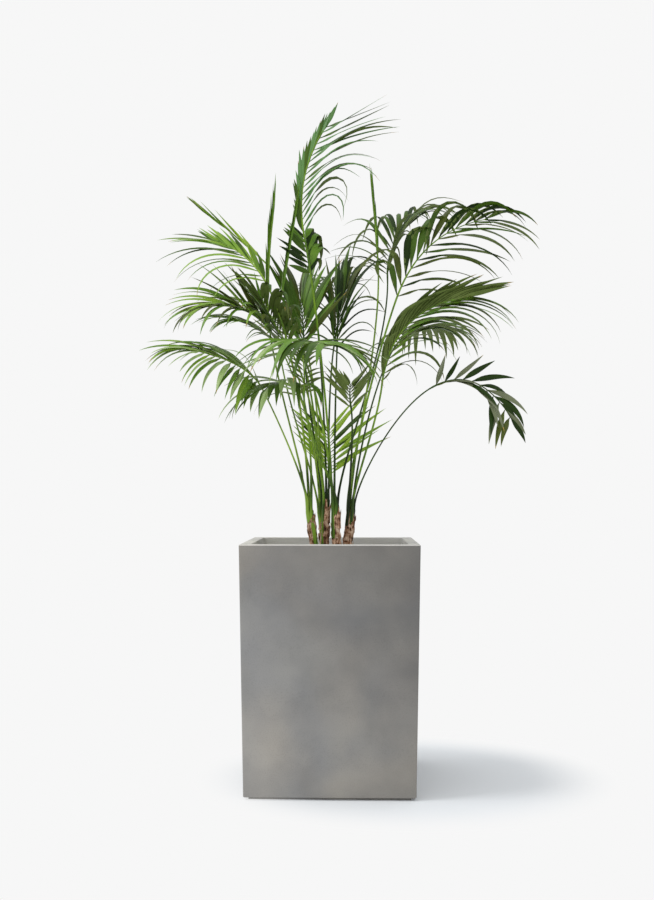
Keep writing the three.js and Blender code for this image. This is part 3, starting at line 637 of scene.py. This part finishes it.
def make_planter():
    """A tapering square shell with a thick rim and a recessed foot, its edges just eased."""
    bm = bmesh.new()
    for corner in bmesh.ops.create_cube(bm, size=2)["verts"]:
        x, y, z = corner.co
        half = POT_HALF_TOP if z > 0 else POT_HALF_BOTTOM
        corner.co = Vector((x * half, y * half, POT_HEIGHT if z > 0 else FOOT_HEIGHT))
    lid = max(bm.faces, key=lambda f: f.calc_center_median().z)
    base = min(bm.faces, key=lambda f: f.calc_center_median().z)
    inside = POT_HALF_TOP - POT_WALL
    sink(bm, lid, POT_WALL, SOIL_TOP - HOLLOW_DEPTH - POT_HEIGHT)
    sink(bm, base, POT_HALF_BOTTOM - FOOT_HALF, -FOOT_HEIGHT)
    bmesh.ops.recalc_face_normals(bm, faces=bm.faces)
    for half, radius in ((POT_HALF_TOP, POT_CORNER), (inside, POT_INNER_CORNER)):
        corners = upright_edges(bm, half)
        bmesh.ops.bevel(
            bm, geom=corners, offset=radius, segments=4, profile=0.5, affect="EDGES", material=-1)
    bmesh.ops.bevel(
        bm, geom=level_edges(bm), offset=POT_EDGE, segments=3, profile=0.5, affect="EDGES", material=-1)
    # The rim's top and the inside walls take the paler cement: painted light.
    for face in bm.faces:
        middle = face.calc_center_median()
        within = max(abs(middle.x), abs(middle.y)) < inside + 1 and middle.z > FOOT_HEIGHT + 1
        face.material_index = 1 if within or middle.z > POT_HEIGHT - POT_EDGE else 0
    add_bmesh("planter_shell", bm, [CEMENT, CEMENT_RIM_LIT], ["planter"], sharp=25)


def soil_height(x, y):
    """The soil's uneven surface: broad mounds, clods and a low heap round the stems."""
    mounds = 3.5 * noise.noise(Vector((x / 90, y / 90, 0.3)))
    clods = 2.6 * noise.noise(Vector((x / 17, y / 17, 4.7)))
    grains = 1.5 * noise.noise(Vector((x / 6, y / 6, 9.1)))
    heap = HEAP_HEIGHT * exp(-(x * x + y * y) / (2 * HEAP_REACH ** 2))
    return SOIL_TOP - 4 + mounds + clods + grains + heap


SOIL_HALF = POT_HALF_TOP - POT_WALL - 2
SOIL_STEPS = 110
CRUMBS = 520
CRUMB_SIZES = (1.2, 5.5)
CRUMB_SHAPE = (1.1, 0.8)  # length and height, against width
CHIP_EVERY = 9  # one crumb in so many is a chip of bark
CHIP_SHAPE = (2.2, 0.45)


def make_soil():
    """Loose potting soil, closed underneath."""
    bm = bmesh.new()
    bmesh.ops.create_grid(bm, x_segments=SOIL_STEPS, y_segments=SOIL_STEPS, size=SOIL_HALF)
    for vert in bm.verts:
        vert.co.z = soil_height(vert.co.x, vert.co.y)
    rim = [edge for edge in bm.edges if edge.is_boundary]
    lower = bmesh.ops.extrude_edge_only(bm, edges=rim)["geom"]
    for vert in only_verts(lower):
        vert.co.z = SOIL_TOP - SOIL_SKIN
    bmesh.ops.holes_fill(bm, edges=bm.edges)
    add_bmesh("soil_surface", bm, [SOIL], ["soil"], sharp=180)


def make_crumbs():
    """Lumps of soil and flat chips of bark that lie on the soil."""
    crumbs = bmesh.new()
    for k in range(CRUMBS):
        chip = k % CHIP_EVERY == 0
        x = SOIL_HALF * 0.97 * vary(k, 31)
        y = SOIL_HALF * 0.97 * vary(k, 32)
        size = lerp(*CRUMB_SIZES, (0.5 + 0.5 * vary(k, 33)) ** 2.5)
        stretch, flat = CHIP_SHAPE if chip else CRUMB_SHAPE
        spot = Matrix.Translation((x, y, soil_height(x, y) + 0.25 * size))
        turn = Matrix.Rotation(pi * vary(k, 34), 4, "Z") @ Matrix.Rotation(0.5 * vary(k, 35), 4, "X")
        shape = Matrix.Diagonal((size * stretch, size, size * flat, 1))
        lump = bmesh.ops.create_icosphere(crumbs, subdivisions=1, radius=1, matrix=spot @ turn @ shape)
        for vert in lump["verts"]:
            vert.co += 0.25 * size * noise.noise_vector(vert.co * 0.9)
            for face in vert.link_faces:
                face.material_index = 1 if chip else 0
    add_bmesh("soil_crumbs", crumbs, [CRUMB, CHIP])


# ---------------------------------------------------------------- stems and limbs


def sweep(bm, matrices, segments, shape=None):
    """Draws a ring of points through a row of places and closes both ends. shape can press the ring."""
    ring = bmesh.ops.create_circle(bm, segments=segments, radius=1)["verts"]
    if shape:
        for vert in ring:
            shape(vert)
    edges = list({edge for vert in ring for edge in vert.link_edges})
    bmesh.ops.transform(bm, matrix=matrices[0], verts=ring)
    first = edges
    for before, now in zip(matrices, matrices[1:]):
        grown = bmesh.ops.extrude_edge_only(bm, edges=edges)["geom"]
        ring = only_verts(grown)
        members = set(ring)
        edges = [g for g in grown if isinstance(g, bmesh.types.BMEdge) and set(g.verts) <= members]
        bmesh.ops.transform(bm, matrix=now @ before.inverted(), verts=ring)
    bmesh.ops.edgeloop_fill(bm, edges=first)
    bmesh.ops.edgeloop_fill(bm, edges=edges)


def placed(at, along, side, across, deep):
    """A matrix that sets a unit ring at a point, square to a direction, with this half width and depth."""
    side = (side - along * side.dot(along)).normalized()
    top = along.cross(side)
    basis = Matrix((side * across, top * deep, along)).transposed().to_4x4()
    return Matrix.Translation(at) @ basis


STEM_ROOT = 8  # how far a stem goes down into the soil
STEM_STEPS = 44
STEM_SIDES = 28
STEM_SHOULDER = 0.93  # the share of a stem's length where its top begins to round over
SCAR_SPACING = 19


def stem_path(stem):
    """A stem's middle line, upright at both ends."""
    start = Vector((*stem["foot"], SOIL_TOP - STEM_ROOT))
    end = Vector(stem["top"])
    third = (end.z - SOIL_TOP) / 3
    return Path(start, start + UP * third, end - UP * third, end)


def flared(path, share):
    """How much wider than its shaft a stem is at a share of its length."""
    return 1 + (FLARE - 1) * exp(-share * path.length / FLARE_HEIGHT)


def make_stem(name, stem, seed):
    """A stem of old leaf bases: rings of scars and upright fibres, flared at the soil, in torn sheaths."""
    path = stem_path(stem)
    bm = bmesh.new()
    matrices = []
    for k in range(STEM_STEPS + 1):
        share = k / STEM_STEPS
        radius = stem["radius"] * flared(path, share) - 1
        if share > STEM_SHOULDER:
            radius *= 1 - 0.5 * ease((share - STEM_SHOULDER) / (1 - STEM_SHOULDER))
        matrices.append(placed(path.at(share), path.along(share), RIGHT, radius, radius))
    sweep(bm, matrices, STEM_SIDES)
    bm.normal_update()
    for vert in bm.verts:
        x, y, z = vert.co
        scar = 0.9 * abs(sin((z + 6 * vary(seed, 3)) / SCAR_SPACING * pi)) ** 0.35
        fibre = 0.6 * noise.noise(Vector((x / 2.2, y / 2.2, z / 30)))
        lump = 1.3 * noise.noise(Vector((x / 9, y / 9, z / 14)))
        vert.co += vert.normal * (scar - 0.7 + fibre + lump)
    add_bmesh("stem_" + name + "_bark", bm, [FIBRE], ["stem_" + name], sharp=60)

    sheaths = bmesh.new()
    for layer in range(SHEATH_LAYERS):
        wrap_sheath(sheaths, path, stem["radius"], seed * 10 + layer, layer)
    add_bmesh("stem_" + name + "_sheaths", sheaths, [FIBRE_PALE, FIBRE], sharp=50)


def wrap_sheath(bm, path, radius, seed, layer):
    """A dead leaf base: it clasps the stem below and stands off it above, where it is torn into points.

    On the sheet that it starts from, u runs from -1 to 1 round the stem and v from 0 to 1 up it.
    """
    low = SHEATH_FIRST + SHEATH_STEP * layer + 0.04 * vary(seed, 1)
    high = min(0.99, low + SHEATH_TALL + 0.08 * vary(seed, 2))
    facing = 360 * (0.37 * layer + 0.2 * vary(seed, 3))
    grid = bmesh.ops.create_grid(bm, x_segments=SHEATH_COLUMNS, y_segments=SHEATH_ROWS, size=1)["verts"]
    for vert in grid:
        u = vert.co.x
        v = 0.5 + 0.5 * vert.co.y
        column = round((u + 1) * SHEATH_COLUMNS / 2)
        torn = SHEATH_TEAR * abs(vary(column, seed)) ** 1.5 * max(0, 2 * v - 1)
        share = lerp(low, high, v - torn - 0.25 * v * u * u)
        reach = radius * flared(path, share) + 0.4 + 0.35 * layer
        reach += (1.4 + 1.6 * (0.5 + 0.5 * vary(seed, 5))) * v ** 3
        angle = facing + lerp(*SHEATH_WRAP, v) * u
        ripple = 0.35 * noise.noise(Vector((u * 9, v * 2, seed)))
        along = path.along(share)
        spoke = turned(RIGHT, UP, angle)
        spoke = (spoke - along * spoke.dot(along)).normalized()
        vert.co = path.at(share) + spoke * (reach + ripple)
    faces = list({face for vert in grid for face in vert.link_faces})
    for face in faces:
        face.material_index = seed % 2
    foot = path.at(0).z
    top = path.at(1).z
    inner = bmesh.ops.extrude_face_region(bm, geom=faces, use_keep_orig=True)["geom"]
    for vert in only_verts(inner):
        middle = path.at((vert.co.z - foot) / (top - foot))
        vert.co += (middle - vert.co).normalized() * SHEATH_THICK


def limb_paths(limb):
    """A limb's two curves: the petiole, which leaves its stem upright, and the rib that goes on from it."""
    stem = STEMS[limb["stem"]]
    foot = Vector(stem["top"]) + turned(Vector((PETIOLE_RING * stem["radius"], 0, 0)), UP, limb["foot"])
    neck, crest, tip = limb["neck"], limb["crest"], limb["tip"]
    pull = 2 * crest - 0.5 * neck - 0.5 * tip
    heading = (pull - neck).normalized()
    reach = (neck - foot).length
    petiole = Path(foot, foot + UP * FOOT_PULL * reach, neck - heading * NECK_PULL * reach, neck)
    return petiole, Path(neck, pull, tip)


def blade_left(limb, along, roll):
    """The direction to the left of a limb, seen from above it, turned about it by the blade's roll."""
    ahead = limb["tip"] - limb["neck"]
    bearing = atan2(ahead.y, ahead.x)
    left = Vector((-sin(bearing), cos(bearing), 0))
    left = (left - along * left.dot(along)).normalized()
    return turned(left, along, roll)


def channel(vert):
    """Presses a ring's upper side into a shallow channel."""
    if vert.co.y > 0.55:
        vert.co.y = 0.62 if abs(vert.co.x) > 0.4 else 0.38


# The share of its stem's height down which a limb's green base clasps the stem outside the old sheaths.
GREEN_BASES = {"middle_left": 0.98, "under_left": 0.75, "front": 0.55, "right_front": 0.3}
CLASP = 1.22  # how far out such a base lies, against the stem's radius
SUNK = 0.75  # how far out any other begins, under the sheaths
SUNK_DEPTH = (0.15, 0.5)  # the share of its stem's height down which it begins, at least and at most
BASE_STEPS = 6
LIMB_STEPS = 30
LIMB_SIDES = 12
SLIM = {"green": 0.86, "lime": 0.86, "dark": 0.75}  # a petiole's width against the fullest, by its kind
SWELLING = 0.2  # how much wider a petiole is where it leaves its stem
SWELLING_HEIGHT = 60


def base_places(name, limb, petiole, seed):
    """Places for the rings of a petiole's clasping base, from down its stem to the petiole's foot."""
    stem = STEMS[limb["stem"]]
    shaft = stem_path(stem)
    depth = GREEN_BASES.get(name, lerp(*SUNK_DEPTH, 0.5 + 0.5 * vary(seed, 61)))
    spoke = turned(RIGHT, UP, limb["foot"])
    points = []
    for j in range(BASE_STEPS):
        rise = j / BASE_STEPS
        share = 1 - depth * (1 - rise)
        hold = CLASP * flared(shaft, share) if name in GREEN_BASES else lerp(SUNK, PETIOLE_RING, rise)
        points.append(shaft.at(share) + spoke * stem["radius"] * lerp(hold, PETIOLE_RING, rise ** 2))
    places = []
    for j, (point, after) in enumerate(zip(points, points[1:] + [petiole.at(0)])):
        along = (after - point).normalized()
        rise = j / (BASE_STEPS - 1)
        places.append(placed(
            point, along, turned(spoke, UP, 90), lerp(*BASE_WIDTH, rise), lerp(*BASE_DEPTH, rise)))
    return places


def petiole_places(limb, petiole):
    """Places for the rings of a petiole, which turns from its stem's way round to its blade's."""
    left = turned(turned(RIGHT, UP, limb["foot"]), UP, 90)
    wide, deep = PETIOLE_OVAL
    places = []
    for j in range(LIMB_STEPS):
        share = j / LIMB_STEPS
        along = petiole.along(share)
        fullness = 1 + SWELLING * exp(-share * petiole.length / SWELLING_HEIGHT)
        radius = SLIM[limb["stalk"]] * lerp(PETIOLE_FOOT, PETIOLE_NECK, share) * fullness
        side = left.lerp(blade_left(limb, along, limb["roll"] * share), ease(share * 3))
        places.append(placed(petiole.at(share), along, side, radius * wide, radius * deep))
    return places


def rib_places(limb, rib):
    """Places for the rings of a rib, from its neck to its tip."""
    places = []
    for j in range(LIMB_STEPS + 1):
        share = j / LIMB_STEPS
        along = rib.along(share)
        radius = lerp(PETIOLE_NECK, RIB_TIP, share)
        places.append(placed(rib.at(share), along, blade_left(limb, along, limb["roll"]), radius, radius))
    return places


def make_limb(name, limb, seed):
    """A petiole and the rib that goes on from it, rising out of the clasping base on its stem."""
    petiole, rib = limb_paths(limb)
    places = base_places(name, limb, petiole, seed) + petiole_places(limb, petiole) + rib_places(limb, rib)
    bm = bmesh.new()
    sweep(bm, places, LIMB_SIDES, channel)
    add_bmesh("limb_" + name, bm, [STALKS[limb["stalk"]]], ["petiole_" + name], sharp=70)


# ---------------------------------------------------------------- leaflets

LEAFLET_STEPS = 12
LEAF_THICK = 0.45
LEAF_TAPER = (1.6, 0.7)  # its thickness at its foot and at its point, against that
LEAF_WIDEST = 0.4  # the share of a leaflet's length where it is widest
LEAF_FOOT = 0.14  # the width of its foot against its widest
LEAF_FOLD = 18  # degrees that its wings fall by
FOLD_VARIES = 12
FOOT_FOLD = 60  # and at its foot
OPENED = 0.25  # the share of its length in which it opens out from that
LEAF_TWIST = 30  # the most degrees that it is twisted by at its point
DEAL = 1.3  # 1 would deal a frond's tints evenly, and more deals the first one oftener
DRY_OVER = 0.3  # a leaflet whose number from -1 to 1 is over this has a dry point
YOUNG = ("fresh", "lime", "pale")  # tints that a leaflet keeps on its underside


class Blades:
    """Leaflets gathered into one mesh."""

    def __init__(self):
        self.points = []
        self.faces = []
        self.kinds = []
        self.uvs = []

    def add(self, rings, kinds):
        """Adds a closed leaflet: rings of (point, place on the leaf) and each step's kinds of face."""
        base = len(self.points)
        marks = []
        for ring in rings:
            for point, mark in ring:
                self.points.append(point * MM)
                marks.append(mark)
        count = len(rings[0])
        self.face([base + i for i in range(count)], marks, base, kinds[0][-1])
        for k in range(len(rings) - 1):
            low = base + k * count
            high = low + count
            closing = len(rings[k + 1]) == 1
            for i in range(count):
                j = (i + 1) % count
                corners = [low + j, low + i, high] if closing else [low + j, low + i, high + i, high + j]
                self.face(corners, marks, base, kinds[k][i])

    def face(self, corners, marks, base, kind):
        """Adds one face, from its points' numbers, with their places on the leaf and its kind."""
        self.faces.append(corners)
        self.kinds.append(kind)
        self.uvs += [c for corner in corners for c in marks[corner - base]]

    def mesh(self, name):
        """The finished mesh, with the places on the leaf as its UV map."""
        mesh = bpy.data.meshes.new(name)
        mesh.from_pydata(self.points, [], self.faces)
        mesh.polygons.foreach_set("material_index", self.kinds)
        mesh.polygons.foreach_set("use_smooth", [True] * len(self.faces))
        mesh.uv_layers.new(name="leaf").data.foreach_set("uv", self.uvs)
        mesh.set_sharp_from_angle(angle=radians(75))
        return mesh


def outline(s):
    """A leaflet's width along its length, against its widest: narrow foot, full middle, long point."""
    if s < LEAF_WIDEST:
        return LEAF_FOOT + (1 - LEAF_FOOT) * sin(0.5 * pi * s / LEAF_WIDEST)
    return 1 - ((s - LEAF_WIDEST) / (1 - LEAF_WIDEST)) ** 1.5


def leaflet_number(t, side):
    """A leaflet's own number, from its place on the rib, which its spread of sizes and angles starts from."""
    return floor(t * 1000 + 0.5) + side


def leaflet_line(rib, row, t, side, seed):
    """A leaflet's middle line, bent by its weight, with its direction and width direction at each step.

    Returns it with the leaflet's length.
    """
    growth = row["sides"][side]
    along = rib.along(t)
    left = blade_left(row, along, row["roll"])
    face = along.cross(left)
    number = leaflet_number(t, side)
    fullness = sin(pi * lerp(FIRST_LENGTH, LAST_LENGTH, t))
    length = row["leaf"] * growth["reach"] * fullness * (1 + LENGTH_VARIES * vary(number, seed))
    spread = radians(lerp(*growth["spread"], t) * (1 + SPREAD_VARIES * vary(number, seed + 1)))
    lift = radians(row["raise"] + RAISE_VARIES * vary(number, seed + 2))
    out = left * side * cos(lift) + face * sin(lift)
    first = along * cos(spread) + out * sin(spread)
    across = (along - first * along.dot(first)).normalized()
    level = Vector((first.x, first.y, 0)).normalized()
    flat = UP.cross(level)
    flat *= 1 if flat.dot(across) > 0 else -1
    rise = asin(first.z)
    droop = min(1, max(0, lerp(*growth["droop"], t))) * (1 + DROOP_VARIES * vary(number, seed + 3))
    bend = droop * max(0, rise + HANG)
    upright = max(0, sin(rise)) ** 3
    facing = lerp(*growth["level"], t)
    at = rib.at(t)
    line = []
    for k in range(LEAFLET_STEPS + 1):
        s = k / LEAFLET_STEPS
        hooked = ease((s - HOOK_FROM) / (HOOK_TO - HOOK_FROM))
        slope = rise - bend * lerp(s ** BEND_POWER, hooked, upright)
        way = level * cos(slope) + UP * sin(slope)
        width = across.lerp(flat, facing * ease(s / LEVELLED))
        width = (width - way * width.dot(way)).normalized()
        line.append((at.copy(), way, width))
        at += way * (length / LEAFLET_STEPS)
    return line, length


def leaflet_rings(line, length, half, side, twist, fold):
    """Sections of a leaflet: two wings that fall away from a raised middle, a hair thick, to a point."""
    rings = []
    for k, (at, way, width) in enumerate(line[:-1]):
        s = k / LEAFLET_STEPS
        width = turned(width, way, twist * s)
        upper = width.cross(way) * side
        wing = half * outline(s)
        droop = radians(lerp(FOOT_FOLD, fold, ease(s / OPENED)))
        thick = LEAF_THICK * lerp(*LEAF_TAPER, s)
        flat = wing * cos(droop)
        fall = wing * sin(droop)
        section = [(-flat, -fall), (0, 0.5 * thick), (flat, -fall), (0, -0.9 * thick)]
        if side > 0:
            section = section[::-1]
        rings.append([
            (at + width * x + upper * y, (x / max(0.1, flat), s * length / 10)) for x, y in section
        ])
    rings.append([(line[-1][0], (0, length / 10))])
    return rings


UNDERSIDE_KIND = 3  # in a frond's list of materials, after its three tints
DRY_KIND = 4


def section_kinds(blade, under, side):
    """The material of each face round a section, in the order of its points."""
    return [under, blade, blade, under] if side > 0 else [blade, blade, under, under]


def make_leaflets(name, row, seed):
    """All leaflets of a frond, in pairs along its rib."""
    _, rib = limb_paths(row)
    blades = Blades()
    for pair in range(row["pairs"]):
        t = lerp(FIRST_PAIR, LAST_PAIR, pair / (row["pairs"] - 1))
        for side in (1, -1):
            line, length = leaflet_line(rib, row, t, side, seed)
            number = leaflet_number(t, side)
            half = row["width"] / 2 * lerp(LEAST_WIDTH, 1, length / row["leaf"])
            twist = LEAF_TWIST * vary(number, seed + 5)
            fold = LEAF_FOLD + FOLD_VARIES * vary(number, seed + 6)
            rings = leaflet_rings(line, length, half, side, twist, fold)
            tint = int((0.5 + 0.5 * vary(number, seed + 7)) ** DEAL * 3) % 3
            under = tint if row["tints"][tint] in YOUNG else UNDERSIDE_KIND
            kinds = [section_kinds(tint, under, side) for _ in range(LEAFLET_STEPS)]
            if vary(number, seed + 8) > DRY_OVER:
                kinds[-1] = section_kinds(DRY_KIND, DRY_KIND, side)
            blades.add(rings, kinds)
    own = ("frond_" + name, f"frond_{name}_inner", f"frond_{name}_outer")
    nodes = [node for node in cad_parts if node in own]
    materials = [TINTS[tint] for tint in row["tints"]] + [UNDERSIDE, DRY_TIP]
    add_mesh("leaflets_" + name, blades.mesh("leaflets_" + name), materials, nodes)


SPEAR_PAIRS = 9
SPEAR_LEAF = 0.52  # length of its longest leaflet, against its rib's
SPEAR_FIRST = 0.02  # the rib's share below its first pair of leaflets
SPEAR_LAST = 0.72
SPEAR_TINTS = ("pale", "fresh", "mid")
SPEAR_FLANK = flank((4, 1), (0, 0), 0)
SPEAR_RAISE = 35  # degrees
SPEAR_FOLD = 36
SPEAR_TWIST = 10
SPEAR_TAPER = 0.4  # how much narrower its leaflets are at the end of its rib


def make_spear_blade(name, row, seed):
    """An unopened frond: leaflets still pressed together along their rib, their points parting at the top."""
    _, rib = limb_paths(row)
    blades = Blades()
    flanks = {1: SPEAR_FLANK, -1: SPEAR_FLANK}
    pressed = dict(row, leaf=SPEAR_LEAF * rib.length, sides=flanks, **{"raise": SPEAR_RAISE})
    for pair in range(SPEAR_PAIRS):
        t = lerp(SPEAR_FIRST, SPEAR_LAST, pair / (SPEAR_PAIRS - 1))
        for side in (1, -1):
            line, length = leaflet_line(rib, pressed, t, side, seed)
            half = row["width"] * 0.5 * (1 - SPEAR_TAPER * t)
            twist = SPEAR_TWIST * vary(leaflet_number(t, side), seed)
            rings = leaflet_rings(line, length, half, side, twist, SPEAR_FOLD)
            kinds = [section_kinds(pair % 3, UNDERSIDE_KIND, side) for _ in range(LEAFLET_STEPS)]
            blades.add(rings, kinds)
    materials = [TINTS[tint] for tint in SPEAR_TINTS] + [TINTS["mid"]]
    add_mesh("blade_" + name, blades.mesh("blade_" + name), materials, [name])


# ---------------------------------------------------------------- the stage

BACKDROP = "#F7F7F7"
FLOOR_PAINT = "#EFF2F5"
SKY = "#F8F9FA"
FLOOR_REACH = 60  # metres
SHADOW_MIDDLE = (0.19, 0.03, 0)  # the oval of floor that takes shadows, in metres
SHADOW_REACH = (0.36, 0.32, 1)
SHADOW_KEPT = 0.85  # the share of the oval's reach where the shadow begins to fade
SHADOW_GONE = 1.5
FILL = 0.74  # the strength of the studio's own light
FILL_SWING = 0.3  # how much brighter the studio is towards its bright side, and darker away from it
BRIGHT_SIDE = (-0.6, -0.5, 0.9)
KEY = 0.82  # the strength of the light from the upper left
KEY_ANGLE = 20  # degrees, which sets how soft its shadows are
KEY_WAY = (0.56, 0.12, -0.82)

CAMERA_PLACE = (0.054, -2.856, 0.7276)  # metres
CAMERA_TILT = 92.08  # degrees, where 90 looks level
CAMERA_PAN = 1.3
CAMERA_LENS = 44.72
SENSOR = 36


def make_floor():
    """A wide pale floor that the planter stands on."""
    bm = bmesh.new()
    bmesh.ops.create_circle(bm, segments=96, radius=FLOOR_REACH, cap_ends=True)
    mesh = bpy.data.meshes.new("floor")
    bm.to_mesh(mesh)
    bm.free()
    mesh.materials.append(
        sweep_material("matt_white_sweep", FLOOR_PAINT, BACKDROP, SHADOW_MIDDLE, SHADOW_REACH))
    floor_piece = bpy.data.objects.new("floor", mesh)
    bpy.context.scene.collection.objects.link(floor_piece)


def make_sky():
    """An even pale backdrop to the eye, and to the palm a pale studio that is brighter on one side."""
    world = bpy.data.worlds.new("pale_studio")
    world.use_nodes = True
    tree = world.node_tree
    backdrop = tree.nodes["Background"]
    backdrop.inputs["Color"].default_value = linear(BACKDROP)
    ray = add_node(tree, "ShaderNodeTexCoord").outputs["Generated"]
    towards = add_node(tree, "ShaderNodeVectorMath", {0: ray, 1: BRIGHT_SIDE}, operation="DOT_PRODUCT")
    strength = add_node(
        tree, "ShaderNodeMath", {0: towards.outputs["Value"], 1: FILL_SWING, 2: FILL},
        operation="MULTIPLY_ADD")
    fill = add_node(
        tree, "ShaderNodeBackground", {"Color": linear(SKY), "Strength": strength.outputs["Value"]})
    seen = add_node(tree, "ShaderNodeLightPath")
    both = add_node(tree, "ShaderNodeMixShader", {"Fac": seen.outputs["Is Camera Ray"]})
    tree.links.new(fill.outputs["Background"], both.inputs[1])
    tree.links.new(backdrop.outputs["Background"], both.inputs[2])
    tree.links.new(both.outputs["Shader"], tree.nodes["World Output"].inputs["Surface"])
    bpy.context.scene.world = world
    bpy.context.scene.view_settings.view_transform = "Standard"


def make_key():
    """One broad, soft light from the upper left."""
    key = bpy.data.lights.new("key", "SUN")
    key.energy = KEY
    key.angle = radians(KEY_ANGLE)
    holder = bpy.data.objects.new("key", key)
    holder.rotation_euler = Vector(KEY_WAY).to_track_quat("-Z", "Y").to_euler()
    bpy.context.scene.collection.objects.link(holder)


def make_camera():
    """The eye is level with the petioles, a little above the planter's rim, and looks a little up."""
    camera = bpy.data.cameras.new("camera")
    camera.lens = CAMERA_LENS
    camera.sensor_fit = "VERTICAL"
    camera.sensor_width = SENSOR
    camera.sensor_height = SENSOR
    holder = bpy.data.objects.new("camera", camera)
    holder.location = CAMERA_PLACE
    holder.rotation_euler = (radians(CAMERA_TILT), 0, radians(CAMERA_PAN))
    bpy.context.scene.collection.objects.link(holder)
    bpy.context.scene.camera = holder


make_camera()
make_floor()
make_sky()
make_key()
make_planter()
make_soil()
make_crumbs()
for seed, (name, stem) in enumerate(STEMS.items(), 1):
    make_stem(name, stem, seed)
for seed, (name, limb) in enumerate({**FRONDS, **SPEARS}.items(), 1):
    make_limb(name, limb, seed)
for seed, (name, row) in enumerate(FRONDS.items(), 1):
    make_leaflets(name, row, seed)
for seed, (name, row) in enumerate(SPEARS.items(), 41):
    make_spear_blade(name, row, seed)
